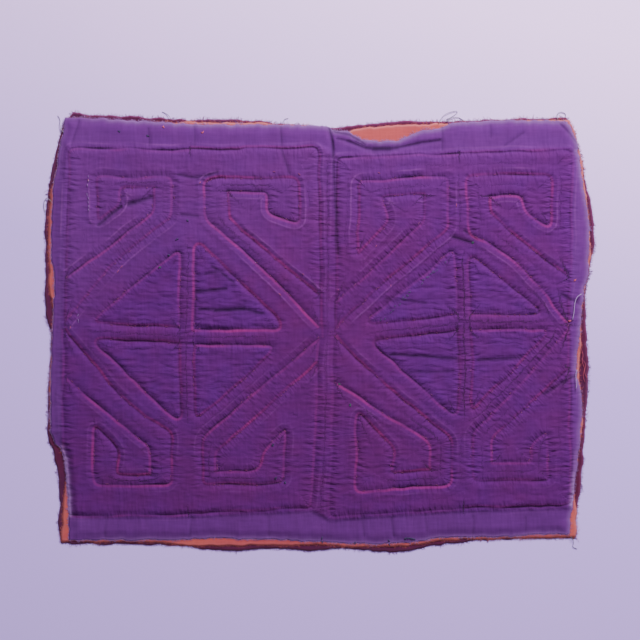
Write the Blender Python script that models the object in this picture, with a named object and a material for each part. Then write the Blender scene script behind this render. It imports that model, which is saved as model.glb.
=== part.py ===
"""A hand-sewn mola panel of three cotton cloths, lying flat with its backing cloth up.

The panel lies face down on the surface at z = 0, centred on the origin.  +X runs along its long
side and +Y up its design.  The burgundy front cloth is lowest, the orange cloth lies on it, and the
purple backing is on top.  The seams pull the backing down into grooves, and the bands and fields
between them stand up.  Each cloth was cut by hand, so its four sides wander and its corners differ.
"""

from collections import namedtuple

import bmesh
import bpy
import numpy as np
from mathutils.geometry import delaunay_2d_cdt

MM = 0.001

# Thickness of each cloth, and the air between two cloths.
FRONT_THICKNESS = 1.1 * MM
MIDDLE_THICKNESS = 1.0 * MM
BACKING_THICKNESS = 1.1 * MM
LAYER_GAP = 0.3 * MM

# Height of the backing's relief above its plain thickness.
BAND_PUFF = 1.3 * MM
MARGIN_PUFF = 0.55 * MM
MARGIN_FADE = 9.0 * MM
SEAM_DROP = 1.15 * MM
SEAM_WIDTH = 2.4 * MM
SWELL_PITCH = 31.0 * MM
SWELL_HEIGHT = 0.12 * MM

# Spacing of the points that carry the relief.
EDGE_STEP = 7.0 * MM
SEAM_STEP = 7.0 * MM
SHOULDER = 2.7 * MM
FIELD_PITCH = 10.5 * MM
FIELD_CLEARANCE = 4.6 * MM
POINT_CLEARANCE = 2.0 * MM
EDGE_CLEARANCE = 3.0 * MM

# The cloths' straight cut lines, before the scissors wandered: half the width and half the height.
BACKING_CUT = (201.0 * MM, 160.0 * MM)
MIDDLE_CUT = (203.0 * MM, 162.0 * MM)
FRONT_CUT = (206.0 * MM, 164.0 * MM)

# How far a cloth's edge lies outside its straight cut line, in millimetres.  `along` runs from left
# to right on the top and bottom sides, and from bottom to top on the left and right sides.
Cut = namedtuple("Cut", "along out")

BACKING_SIDES = {
    "bottom": (
        Cut(-192, -1.2), Cut(-112, -1.2), Cut(-68, -2.6), Cut(-8, -0.5), Cut(51, 1.8),
        Cut(95, -2.6), Cut(139, -4.2), Cut(191, -6.5),
    ),
    "right": (
        Cut(-153.5, -10), Cut(-132, -8), Cut(-98, -4), Cut(-69, -1), Cut(-55, -0.4), Cut(-34, -4),
        Cut(-12, -3.5), Cut(10, -1.7), Cut(32, 1.3), Cut(46, 4.4), Cut(67, 5.2), Cut(90, 3.6),
        Cut(147, -4.8), Cut(162, -12.4),
    ),
    "top": (
        Cut(-194.5, 5), Cut(-156, 2.7), Cut(-97, -0.4), Cut(-24, -1.1), Cut(7, -2.6), Cut(12, -7),
        Cut(22, -8), Cut(34, -12.6), Cut(47, -13.4), Cut(60, -13.4), Cut(71, -8), Cut(94, -2.6),
        Cut(104, 0.4), Cut(139, 1.9), Cut(188.6, 2),
    ),
    "left": (
        Cut(-158.8, -9), Cut(-128, -8), Cut(-98, -6), Cut(-87, -2), Cut(-77, 4.4), Cut(-26, 4.4),
        Cut(4, 3.3), Cut(39, 1.7), Cut(61, 4.4), Cut(90, 4), Cut(112, 2.5), Cut(137, -1.3),
        Cut(165, -6.5),
    ),
}

MIDDLE_SIDES = {
    "bottom": (
        Cut(-198, -2.4), Cut(-131, -1.6), Cut(-100, 0.7), Cut(-8, 0.7), Cut(51, 1.9), Cut(95, -2.4),
        Cut(139, -4.3), Cut(196, -5.4),
    ),
    "right": (
        Cut(-156.6, -7), Cut(-128, -6.4), Cut(-98, -5), Cut(-69, -2.2), Cut(-34, -4.5),
        Cut(-12, -3.7), Cut(17, -2.6), Cut(32, -1), Cut(46, 3.2), Cut(67, 4.3), Cut(90, 2.8),
        Cut(144, -4.5), Cut(162.5, -12.1),
    ),
    "top": (
        Cut(-194.3, 2), Cut(-156, -0.4), Cut(-97, -0.8), Cut(-24, -2.6), Cut(8, -6.6),
        Cut(19, -5.4), Cut(58, -2.4), Cut(95, -2), Cut(139, -0.4), Cut(190.9, 0.5),
    ),
    "left": (
        Cut(-159.6, -5), Cut(-128, -5.3), Cut(-106, -4.9), Cut(-88, -1.8), Cut(-77, 2.8),
        Cut(-40, 3.1), Cut(-3, 2), Cut(14, 3.9), Cut(46, 4.7), Cut(75, 4.7), Cut(112, 2.8),
        Cut(140, -2.6), Cut(164, -8.7),
    ),
}

FRONT_SIDES = {
    "bottom": (
        Cut(-198, -3.6), Cut(-171, -2.1), Cut(-112, -1.3), Cut(-75, 2.5), Cut(-38, 1.8),
        Cut(-8, 2.5), Cut(22, 1.8), Cut(58, 4.1), Cut(81, 0.2), Cut(95, -2.1), Cut(139, -5.9),
        Cut(195, -6.4),
    ),
    "right": (
        Cut(-157.6, -11), Cut(-143, -10.6), Cut(-128, -8.3), Cut(-106, -5.2), Cut(-69, -2.5),
        Cut(-42, -0.6), Cut(-13, -1.4), Cut(17, -2.5), Cut(32, -2.7), Cut(61, 3.2), Cut(78, 4),
        Cut(109, -0.6), Cut(147, -9.5), Cut(164, -17.4),
    ),
    "top": (
        Cut(-189, 4.1), Cut(-156, 1.8), Cut(-119, -0.5), Cut(-68, -1.3), Cut(-24, -4.4),
        Cut(8, -7.4), Cut(29, -5.1), Cut(58, -2.8), Cut(95, -2.1), Cut(139, -0.9),
        Cut(188.6, 0.2),
    ),
    "left": (
        Cut(-160.4, -8), Cut(-147, -6.3), Cut(-128, -7.1), Cut(-106, -5.6), Cut(-88, -1.7),
        Cut(-77, 1.6), Cut(-40, 1.6), Cut(-3, -0.6), Cut(14, 3.1), Cut(46, 3.8), Cut(75, 3.9),
        Cut(112, 0.9), Cut(140, -4.8), Cut(161, -10.2),
    ),
}

# A unit of the design is a frame with four quadrants.  Each row of a net is one level of the frame,
# with the places in millimetres of its left end, its middle and its right end.
NetLevel = namedtuple("NetLevel", "left_x left_y middle_x middle_y right_x right_y")

UNIT_NETS = {
    "left_unit": {
        "top": NetLevel(-192.8, 141.3, -99.5, 140, -1.5, 141.3),
        "centre": NetLevel(-195, 2, -101.6, -2.7, 0, -4.2),
        "bottom": NetLevel(-195.8, -139, -101.6, -139, -5.2, -134.4),
    },
    "right_unit": {
        "top": NetLevel(12.4, 133.6, 106.6, 137.4, 191.6, 139.7),
        "centre": NetLevel(11, -2.7, 111.2, 8.8, 190, 8),
        "bottom": NetLevel(8.6, -141.3, 109.7, -134.4, 193, -132.1),
    },
}

# One quadrant of a unit, as fractions of the way from the unit's middle to its frame: `tip` to
# `bulge` place the diamond's edge and the hook's outer edge, `barb_out` to `elbow` the hook's inner
# edge, `root` the foot of the band on the frame, and `leg_out` and `leg_up` the inner triangle.
Quadrant = namedtuple(
    "Quadrant",
    "unit side level tip bulge neck neck_low hook_top hook_out heel "
    "barb_out barb_up lip shelf crook elbow root leg_out leg_up",
)

QUADRANTS = (
    Quadrant("left_unit", "left", "top", 0.03, 0.06, 0.125, 0.63, 0.85, 0.76, 0.59,
             0.55, 0.69, 0.015, 0.79, 0.29, 0.66, 0.28, 0.76, 0.455),
    Quadrant("left_unit", "right", "top", 0.05, 0.03, 0.125, 0.63, 0.84, 0.84, 0.60,
             0.61, 0.66, 0.01, 0.775, 0.29, 0.63, 0.22, 0.71, 0.49),
    Quadrant("left_unit", "left", "bottom", -0.01, 0.07, 0.13, 0.545, 0.84, 0.745, 0.51,
             0.55, 0.64, 0.04, 0.785, 0.29, 0.63, 0.25, 0.74, 0.475),
    Quadrant("left_unit", "right", "bottom", 0.0, 0.0, 0.12, 0.57, 0.845, 0.77, 0.52,
             0.585, 0.66, -0.03, 0.765, 0.24, 0.655, 0.15, 0.66, 0.47),
    Quadrant("right_unit", "left", "top", 0.02, 0.04, 0.09, 0.535, 0.87, 0.83, 0.43,
             0.565, 0.62, 0.08, 0.76, 0.30, 0.61, 0.19, 0.75, 0.43),
    Quadrant("right_unit", "right", "top", -0.01, 0.09, 0.065, 0.51, 0.86, 0.82, 0.55,
             0.60, 0.65, -0.03, 0.745, 0.25, 0.65, 0.25, 0.72, 0.38),
    Quadrant("right_unit", "left", "bottom", 0.0, 0.035, 0.10, 0.61, 0.87, 0.81, 0.43,
             0.52, 0.66, 0.05, 0.785, 0.245, 0.63, 0.25, 0.70, 0.49),
    Quadrant("right_unit", "right", "bottom", 0.02, 0.02, 0.07, 0.60, 0.86, 0.79, 0.59,
             0.62, 0.66, 0.0, 0.76, 0.27, 0.63, 0.25, 0.79, 0.48),
)

# Half the width of the plus sign's bars, and how far a triangle's sharp ends are cut back.
BAR_OUT = 0.055
BAR_UP = 0.042
TRIANGLE_CUT = 0.035

# Creases pressed into the backing, in millimetres: the two ends, how deep and how wide.
Crease = namedtuple("Crease", "x0 y0 x1 y1 drop width")

CREASES = (
    # The tuck under the dip in the top edge.
    Crease(15, 147, 34, 142, 0.9, 3.0),
    Crease(34, 142, 56, 142, 1.3, 3.2),
    Crease(56, 142, 92, 148, 1.0, 3.0),
    # The fold between the two units.
    Crease(7, 156, 9, 132, 1.0, 2.6),
    # The corners, and the top and bottom margins.
    Crease(-184, 162, -189, 142, 0.5, 2.6),
    Crease(184, 160, 196, 146, 0.5, 2.6),
    Crease(-131, 156, -131, 144, 0.4, 2.6),
    Crease(-29, 156, -25, 123, 0.4, 2.6),
    Crease(94, 156, 94, 140, 0.4, 2.6),
    Crease(156, 153, 142, 143, 0.4, 2.6),
    Crease(117, -141, 117, -155, 0.4, 2.6),
    Crease(158, -141, 158, -153, 0.4, 2.6),
    Crease(197, -32, 172, -45, 0.6, 3.0),
    # Wrinkles across the fields of the inner triangles.
    Crease(-95, 32, -72, 32, 0.6, 2.6),
    Crease(-91, 17, -46, 17, 0.7, 2.6),
    Crease(54, -17, 104, -21, 0.6, 2.6),
    Crease(120, -20, 153, -20, 0.6, 2.6),
)

# Where the right-hand edge of the backing is rolled up into a soft curl, and its size.
CURL = {"x": 196 * MM, "y": 19 * MM, "half_length": 11 * MM, "half_width": 5 * MM, "rise": 0.7 * MM}

COLLECTION = "mola_panel"
COLOURS = {
    "backing_layer": (0.132, 0.043, 0.235, 1.0),
    "middle_layer": (0.55, 0.18, 0.12, 1.0),
    "front_layer": (0.105, 0.018, 0.045, 1.0),
}
COTTON_ROUGHNESS = 0.9


def clear_scene():
    """Remove every object that is already there."""
    for item in list(bpy.data.objects):
        bpy.data.objects.remove(item, do_unlink=True)


def smooth_through(points, step):
    """Points about `step` apart on a Catmull-Rom curve through the given ones."""
    points = np.asarray(points, dtype=float)
    before = 2 * points[0] - points[1]
    after = 2 * points[-1] - points[-2]
    chain = np.vstack([before, points, after])
    curve = []
    for p0, p1, p2, p3 in zip(chain, chain[1:], chain[2:], chain[3:]):
        count = max(1, int(round(np.linalg.norm(p2 - p1) / step)))
        for t in np.arange(count) / count:
            curve.append(0.5 * (2 * p1 + (p2 - p0) * t + (2 * p0 - 5 * p1 + 4 * p2 - p3) * t ** 2
                                + (3 * p1 - p0 - 3 * p2 + p3) * t ** 3))
    curve.append(points[-1])
    return np.array(curve)


def straight_through(points, step):
    """Points about `step` apart on the straight runs between the given ones."""
    points = np.asarray(points, dtype=float)
    line = []
    for start, end in zip(points, points[1:]):
        count = max(1, int(round(np.linalg.norm(end - start) / step)))
        line.extend(start + (end - start) * t for t in np.arange(count) / count)
    line.append(points[-1])
    return np.array(line)


def cloth_outline(half_size, sides):
    """The closed outline of a cloth, anticlockwise from its bottom left corner."""
    half_width, half_height = half_size
    runs = {
        "bottom": [(c.along * MM, -half_height - c.out * MM) for c in sides["bottom"]],
        "right": [(half_width + c.out * MM, c.along * MM) for c in sides["right"]],
        "top": [(c.along * MM, half_height + c.out * MM) for c in reversed(sides["top"])],
        "left": [(-half_width - c.out * MM, c.along * MM) for c in reversed(sides["left"])],
    }
    loop = [smooth_through(runs[name], EDGE_STEP) for name in ("bottom", "right", "top", "left")]
    outline = np.vstack(loop)
    apart = np.linalg.norm(outline - np.roll(outline, 1, axis=0), axis=1)
    return outline[apart > POINT_CLEARANCE]


def quadrant_patch(quadrant):
    """A function that carries fractions of a quadrant to places on the cloth.

    The quadrant is a four-cornered patch between the unit's middle, the middle of its frame's side,
    the frame's corner and the middle of its top or bottom, and a place is a mix of the four.
    """
    net = UNIT_NETS[quadrant.unit]
    near = net["centre"]
    far = net[quadrant.level]
    at_side = slice(0, 2) if quadrant.side == "left" else slice(4, 6)
    middle, side = np.array(near[2:4]), np.array(near[at_side])
    head, corner = np.array(far[2:4]), np.array(far[at_side])

    def place(out, up):
        return MM * ((1 - out) * (1 - up) * middle + out * (1 - up) * side
                     + out * up * corner + (1 - out) * up * head)

    return place


def arched(start, end, bulge, count=5):
    """Fractions along a slanting edge that bows outwards by `bulge` at its middle."""
    steps = np.linspace(0.0, 1.0, count)
    return [(start[0] + (end[0] - start[0]) * t,
             start[1] + (end[1] - start[1]) * t + 4 * bulge * t * (1 - t)) for t in steps]


def quadrant_seams(q):
    """The sewn lines of one quadrant: frame, diamond and hook, band, and inner triangle."""
    diamond = arched((1.0, q.tip), (q.neck, q.neck_low), q.bulge)
    hook = [(q.neck, q.hook_top), (q.hook_out, q.hook_top), (q.hook_out, q.heel),
            (q.barb_out, q.barb_up), (q.barb_out + q.lip, q.shelf), (q.crook, q.shelf)]
    band = [(q.crook, q.shelf), (q.crook, q.elbow), (1.0, q.root)]
    triangle = [(BAR_OUT, BAR_UP), (BAR_OUT, q.leg_up), (BAR_OUT + TRIANGLE_CUT, q.leg_up),
                (q.leg_out, BAR_UP + TRIANGLE_CUT), (q.leg_out, BAR_UP), (BAR_OUT, BAR_UP)]
    frame = [(0.0, 1.0), (1.0, 1.0), (1.0, 0.0)]
    place = quadrant_patch(q)
    return [[place(out, up) for out, up in line]
            for line in (diamond + hook, band, triangle, frame)]


def relief_lines():
    """Every seam and crease of the backing as (points, depth, width)."""
    lines = []
    for quadrant in QUADRANTS:
        for seam in quadrant_seams(quadrant):
            lines.append((straight_through(seam, SEAM_STEP), SEAM_DROP, SEAM_WIDTH))
    for c in CREASES:
        ends = np.array([(c.x0, c.y0), (c.x1, c.y1)]) * MM
        lines.append((straight_through(ends, SEAM_STEP), c.drop * MM, c.width * MM))
    return lines


def distance_to(points, line, closed=False):
    """The distance from each point to a line of points."""
    starts = line if closed else line[:-1]
    ends = np.roll(line, -1, axis=0) if closed else line[1:]
    run = ends - starts
    length = np.maximum((run ** 2).sum(axis=1), 1e-12)
    offset = points[:, None, :] - starts[None, :, :]
    along = np.clip((offset * run[None]).sum(axis=2) / length, 0.0, 1.0)
    nearest = starts[None] + along[:, :, None] * run[None]
    return np.sqrt(((points[:, None, :] - nearest) ** 2).sum(axis=2)).min(axis=1)


def inside(points, outline):
    """Which points lie inside the outline, by counting the edges to their right."""
    x, y = points[:, 0:1], points[:, 1:2]
    start, end = outline, np.roll(outline, -1, axis=0)
    spans = (start[:, 1] > y) != (end[:, 1] > y)
    rise = np.where(end[:, 1] == start[:, 1], 1e-12, end[:, 1] - start[:, 1])
    crossing = start[:, 0] + (y - start[:, 1]) * (end[:, 0] - start[:, 0]) / rise
    return (spans & (x < crossing)).sum(axis=1) % 2 == 1


def shoulders(line):
    """Points on both sides of a line, where its groove has nearly run out."""
    run = np.gradient(line, axis=0)
    run /= np.maximum(np.linalg.norm(run, axis=1, keepdims=True), 1e-9)
    across = np.column_stack([-run[:, 1], run[:, 0]]) * SHOULDER
    return np.vstack([line + across, line - across])


def field_grid(outline, pitch):
    """A staggered grid of points over the outline's box."""
    low, high = outline.min(axis=0), outline.max(axis=0)
    rows = np.arange(low[1], high[1], pitch * 0.87)
    grid = []
    for index, y in enumerate(rows):
        shift = 0.5 * pitch * (index % 2)
        grid.extend((x, y) for x in np.arange(low[0] + shift, high[0], pitch))
    return np.array(grid)


def add_clear(kept, candidates, clearance):
    """Add each candidate that stands clear of all the points kept so far."""
    for point in candidates:
        if not kept or (np.square(np.array(kept) - point).sum(axis=1)).min() > clearance ** 2:
            kept.append(point)
    return kept


def backing_points(outline, lines):
    """The points inside the backing: on the seams, on their shoulders, and in the fields."""
    kept = []
    for group, clearance in (
        ([line for line, _, _ in lines], POINT_CLEARANCE),
        ([shoulders(line) for line, _, _ in lines], POINT_CLEARANCE),
        ([field_grid(outline, FIELD_PITCH)], FIELD_CLEARANCE),
    ):
        candidates = np.vstack(group)
        well_in = inside(candidates, outline)
        well_in &= distance_to(candidates, outline, closed=True) > EDGE_CLEARANCE
        kept = add_clear(kept, candidates[well_in], clearance)
    return np.array(kept)


def backing_relief(points, lines):
    """Height of the backing's top above its plain thickness.

    The quilted area puffs up and fades to a flatter margin outside the frames.  A slow swell
    makes the fields uneven, and each seam or crease takes away a bell-shaped groove.
    """
    frames = [line for line, _, _ in lines[3:4 * len(QUADRANTS):4]]
    quilted = np.min([distance_to(points, frame) for frame in frames], axis=0)
    in_units = np.zeros(len(points), dtype=bool)
    for net in UNIT_NETS.values():
        top, bottom = np.array(net["top"]), np.array(net["bottom"])
        corners = np.array([bottom[0:2], bottom[2:4], bottom[4:6], net["centre"][4:6],
                            top[4:6], top[2:4], top[0:2], net["centre"][0:2]]) * MM
        in_units |= inside(points, corners)
    fade = np.where(in_units, 0.0, np.clip(quilted / MARGIN_FADE, 0.0, 1.0))
    height = BAND_PUFF + (MARGIN_PUFF - BAND_PUFF) * fade
    swell = np.sin(points[:, 0] * 2 * np.pi / SWELL_PITCH) * np.cos(
        points[:, 1] * 2 * np.pi / SWELL_PITCH)
    height = height + SWELL_HEIGHT * swell
    groove = np.zeros(len(points))
    for line, drop, width in lines:
        groove = np.maximum(groove, drop * np.exp(-(distance_to(points, line) / width) ** 2))
    curl = ((points[:, 0] - CURL["x"]) / CURL["half_width"]) ** 2 + (
        (points[:, 1] - CURL["y"]) / CURL["half_length"]) ** 2
    return np.maximum(height - groove, 0.0) + CURL["rise"] * np.exp(-curl)


def relief_cloth(name, outline, points, heights, underside):
    """A closed sheet with a flat underside, and a top face through the rim and the given points."""
    flat = [tuple(point) for point in np.vstack([outline, points])]
    rim = list(range(len(outline)))
    places, _, faces, origins, _, _ = delaunay_2d_cdt(flat, [], [rim], 1, 1e-6)
    mesh = bmesh.new()
    for place, origin in zip(places, origins):
        mesh.verts.new((place[0], place[1], heights[origin[0]]))
    mesh.verts.ensure_lookup_table()
    for face in faces:
        mesh.faces.new([mesh.verts[index] for index in face])
    border = [edge for edge in mesh.edges if edge.is_boundary]
    skirt = bmesh.ops.extrude_edge_only(mesh, edges=border)["geom"]
    for vert in (part for part in skirt if isinstance(part, bmesh.types.BMVert)):
        vert.co.z = underside
    hem = [part for part in skirt if isinstance(part, bmesh.types.BMEdge) and part.is_boundary]
    bmesh.ops.triangle_fill(mesh, use_beauty=True, edges=hem)
    bmesh.ops.recalc_face_normals(mesh, faces=mesh.faces)
    data = bpy.data.meshes.new(name)
    mesh.to_mesh(data)
    mesh.free()
    return link_object(name, data)


def flat_cloth(name, half_size, sides, thickness, underside):
    """A cut cloth lying flat: its outline as a filled 2D curve, extruded to its thickness."""
    outline = cloth_outline(half_size, sides)
    curve = bpy.data.curves.new(name, "CURVE")
    curve.dimensions = "2D"
    curve.fill_mode = "BOTH"
    curve.extrude = thickness / 2
    spline = curve.splines.new("POLY")
    spline.points.add(len(outline) - 1)
    for point, (x, y) in zip(spline.points, outline):
        point.co = (x, y, 0.0, 1.0)
    spline.use_cyclic_u = True
    item = link_object(name, curve)
    item.location.z = underside + thickness / 2
    return item


def link_object(name, data):
    """Make an object of the data, with its own cotton material, in the panel's collection."""
    cotton = bpy.data.materials.new(name + "_cotton")
    cotton.use_nodes = True
    shader = cotton.node_tree.nodes["Principled BSDF"]
    shader.inputs["Base Color"].default_value = COLOURS[name]
    shader.inputs["Roughness"].default_value = COTTON_ROUGHNESS
    shader.inputs["Metallic"].default_value = 0.0
    data.materials.append(cotton)
    item = bpy.data.objects.new(name, data)
    bpy.data.collections[COLLECTION].objects.link(item)
    return item


def build_front():
    """The burgundy front cloth, flat on the surface."""
    return flat_cloth("front_layer", FRONT_CUT, FRONT_SIDES, FRONT_THICKNESS, 0.0)


def build_middle():
    """The orange cloth between the other two, seen only where it looks out past the backing."""
    return flat_cloth("middle_layer", MIDDLE_CUT, MIDDLE_SIDES, MIDDLE_THICKNESS,
                      FRONT_THICKNESS + LAYER_GAP)


def build_backing():
    """The purple backing, with the design's seams sunk into its upper face."""
    outline = cloth_outline(BACKING_CUT, BACKING_SIDES)
    lines = relief_lines()
    points = backing_points(outline, lines)
    underside = FRONT_THICKNESS + MIDDLE_THICKNESS + 2 * LAYER_GAP
    plain = underside + BACKING_THICKNESS
    rim_heights = np.full(len(outline), plain)
    heights = np.concatenate([rim_heights, plain + backing_relief(points, lines)])
    return relief_cloth("backing_layer", outline, points, heights, underside)


def main():
    """Build the three cloths in one collection."""
    clear_scene()
    collection = bpy.data.collections.new(COLLECTION)
    bpy.context.scene.collection.children.link(collection)
    build_front()
    build_middle()
    build_backing()


main()
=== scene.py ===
"""Looks of a hand-sewn mola panel that lies face down on a pale surface, backing cloth up.

The panel is three cotton cloths: a burgundy front at the bottom, an orange cloth between, and the
purple backing on top.  The seams of the geometric design pull the backing into grooves, and the
cloth between them puckers.  Every size below is a real one in metres, in the frame of the solids.
"""

from __future__ import annotations

import logging
import math
from collections.abc import Sequence
from dataclasses import dataclass
from enum import Enum

import bpy
import numpy as np
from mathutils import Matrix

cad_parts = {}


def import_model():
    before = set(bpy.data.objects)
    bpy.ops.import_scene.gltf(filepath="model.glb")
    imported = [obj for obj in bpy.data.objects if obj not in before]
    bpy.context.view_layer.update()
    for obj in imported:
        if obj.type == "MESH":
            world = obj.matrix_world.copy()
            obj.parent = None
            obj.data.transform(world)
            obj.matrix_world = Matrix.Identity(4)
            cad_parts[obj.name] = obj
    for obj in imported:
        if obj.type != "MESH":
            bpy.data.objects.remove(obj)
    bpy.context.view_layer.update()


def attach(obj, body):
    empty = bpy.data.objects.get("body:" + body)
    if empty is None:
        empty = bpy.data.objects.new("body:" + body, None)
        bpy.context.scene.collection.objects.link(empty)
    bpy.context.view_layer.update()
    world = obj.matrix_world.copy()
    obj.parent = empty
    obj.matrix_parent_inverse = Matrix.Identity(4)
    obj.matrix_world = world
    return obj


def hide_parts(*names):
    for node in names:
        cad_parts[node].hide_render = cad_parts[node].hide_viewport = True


MM = 0.001
LOG = logging.getLogger("mola_panel")
TINY = 1e-9  # The least length that a vector is divided by.
LEAST_SLANT = 1e-3  # The least slant from upright at which a path has a side of its own.
LATTICE = 256  # How many values a noise has each way before it repeats.
Place = tuple[float, float]
Net = tuple[tuple[Place, Place, Place], ...]


def linear(hex_colour: str) -> tuple[float, float, float, float]:
    """Turn an sRGB hex colour into a linear one.

    Args:
        hex_colour: Six hex digits, with or without a leading hash.

    Returns:
        Red, green, blue and alpha, each from 0 to 1.
    """
    digits = hex_colour.lstrip("#")
    parts = [int(digits[i:i + 2], 16) / 255 for i in (0, 2, 4)]
    red, green, blue = (c / 12.92 if c <= 0.04045 else ((c + 0.055) / 1.055) ** 2.4 for c in parts)
    return red, green, blue, 1.0


def smoothstep(value: np.ndarray) -> np.ndarray:
    """Ease from 0 to 1: three times the square less twice the cube, held between the ends."""
    t = np.clip(value, 0.0, 1.0)
    return t * t * (3 - 2 * t)


def bell(distance: np.ndarray, width: float) -> np.ndarray:
    """A bell curve that is 1 at no distance and falls to 1/e at the width."""
    return np.exp(-(distance / width) ** 2)


def lattice_noise(x: np.ndarray, y: np.ndarray, pitch_x: float, pitch_y: float,
                  seed: int) -> np.ndarray:
    """Smooth noise: seeded values at the crossings of a lattice, eased between its four corners.

    Args:
        x: Places along X.
        y: Places along Y.
        pitch_x: The lattice's spacing along X.
        pitch_y: The lattice's spacing along Y.
        seed: The seed of its values.

    Returns:
        A value from -1 to 1 at each place.
    """
    values = np.random.default_rng(seed).uniform(-1.0, 1.0, (LATTICE, LATTICE))
    gx, gy = x / pitch_x + LATTICE / 2, y / pitch_y + LATTICE / 2
    column, row = np.floor(gx).astype(int), np.floor(gy).astype(int)
    fx, fy = smoothstep(gx - column), smoothstep(gy - row)
    left, right = column % LATTICE, (column + 1) % LATTICE
    low, high = row % LATTICE, (row + 1) % LATTICE
    bottom = values[low, left] * (1 - fx) + values[low, right] * fx
    top = values[high, left] * (1 - fx) + values[high, right] * fx
    return bottom * (1 - fy) + top * fy


@dataclass(frozen=True)
class Noise:
    """A smooth seeded noise: its pitch along X and Y in millimetres, its seed and its height."""

    pitch_x: float
    pitch_y: float
    seed: int
    height: float = 1.0

    def at(self, x: np.ndarray, y: np.ndarray) -> np.ndarray:
        """Its values, from minus to plus its height."""
        return self.height * lattice_noise(x, y, self.pitch_x * MM, self.pitch_y * MM, self.seed)


@dataclass(frozen=True)
class Slope:
    """An easing from 0 to a height: where it starts and how far it goes on, in millimetres."""

    start: float
    length: float
    height: float

    def at(self, value: np.ndarray) -> np.ndarray:
        """Its height at places along it, in metres."""
        return self.height * smoothstep((value - self.start * MM) / (self.length * MM))


def resample(points: np.ndarray, count: int) -> np.ndarray:
    """Points at even steps along a line, its own points joined by straight runs.

    Args:
        points: The line's own points, one row each.
        count: How many points to return.

    Returns:
        The evenly spaced points, from end to end.
    """
    run = np.concatenate([[0.0], np.cumsum(np.linalg.norm(np.diff(points, axis=0), axis=1))])
    steps = np.linspace(0.0, run[-1], count)
    return np.column_stack([np.interp(steps, run, points[:, k]) for k in range(points.shape[1])])


def line_length(points: np.ndarray) -> float:
    """The length of a line of points."""
    return float(np.linalg.norm(np.diff(points, axis=0), axis=1).sum())


def unit(vectors: np.ndarray) -> np.ndarray:
    """Scale vectors, which are the last rows of an array, to a length of 1."""
    return vectors / np.maximum(np.linalg.norm(vectors, axis=-1, keepdims=True), TINY)


def distance_to(places: np.ndarray, line: np.ndarray) -> np.ndarray:
    """How far each place lies from a line: the least distance to any of its straight runs.

    Args:
        places: One row of X and Y for each place.
        line: The line's points.

    Returns:
        One distance for each place.
    """
    return lie_to(places, [line], 1.0).away


@dataclass(frozen=True)
class Lie:
    """How places lie to the nearest of some lines.

    `away` is the distance, `side` the same with a minus on the right of the line's way, `upright`
    the share of the line's way that runs along Y, `along` the length of line passed so far, and
    `line` the line's number, or -1.
    """

    away: np.ndarray
    side: np.ndarray
    upright: np.ndarray
    along: np.ndarray
    line: np.ndarray

    def pick(self, values: Sequence[float], none: float = 0.0) -> np.ndarray:
        """The nearest line's own value for each place, or another one where no line is near."""
        return np.append(values, none)[self.line]


def lie_to(places: np.ndarray, lines: list[np.ndarray], reach: float) -> Lie:
    """Find the nearest straight run of any line for each place, within a reach.

    Args:
        places: One row of X and Y for each place.
        lines: The lines' points.
        reach: The distance past which a place counts as that far away.

    Returns:
        How the places lie to the lines.
    """
    count = len(places)
    away, side = np.full(count, reach), np.full(count, reach)
    upright, passed, owner = np.zeros(count), np.zeros(count), np.full(count, -1)
    for number, line in enumerate(lines):
        begun = 0.0
        low, high = line.min(axis=0) - reach, line.max(axis=0) + reach
        near = np.flatnonzero(((places > low) & (places < high)).all(axis=1))
        close = places[near]
        for start, end in zip(line, line[1:]):
            run = end - start
            length = max(math.hypot(*run), TINY)
            offset = close - start
            along = np.clip(offset @ run / length ** 2, 0.0, 1.0)
            rest = offset - along[:, None] * run
            gap = np.hypot(rest[:, 0], rest[:, 1])
            better = gap < away[near]
            which, gap = near[better], gap[better]
            turn = run[0] * offset[better, 1] - run[1] * offset[better, 0]
            away[which], side[which] = gap, np.copysign(gap, turn)
            upright[which], owner[which] = abs(run[1]) / length, number
            passed[which] = begun + along[better] * length
            begun += length
    return Lie(away, side, upright, passed, owner)


def inside(places: np.ndarray, loop: np.ndarray) -> np.ndarray:
    """Whether each place is inside a closed loop: a ray from it crosses the loop an odd number
    of times.

    Args:
        places: One row of X and Y for each place.
        loop: The loop's points, the first repeated at its end.

    Returns:
        True or False for each place.
    """
    odd = np.zeros(len(places), dtype=bool)
    x, y = places.T
    for (x0, y0), (x1, y1) in zip(loop, loop[1:]):
        if y0 != y1:
            odd ^= ((y0 > y) != (y1 > y)) & (x < (x1 - x0) * (y - y0) / (y1 - y0) + x0)
    return odd


def beside(line: np.ndarray, offset: float) -> np.ndarray:
    """A line that runs beside another: each point moved square to its way by the offset.

    Args:
        line: The line's points.
        offset: How far to the left of its way, or to the right with a minus.

    Returns:
        The moved points.
    """
    run = unit(np.gradient(line, axis=0))
    return line + np.column_stack([-run[:, 1], run[:, 0]]) * offset


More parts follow.
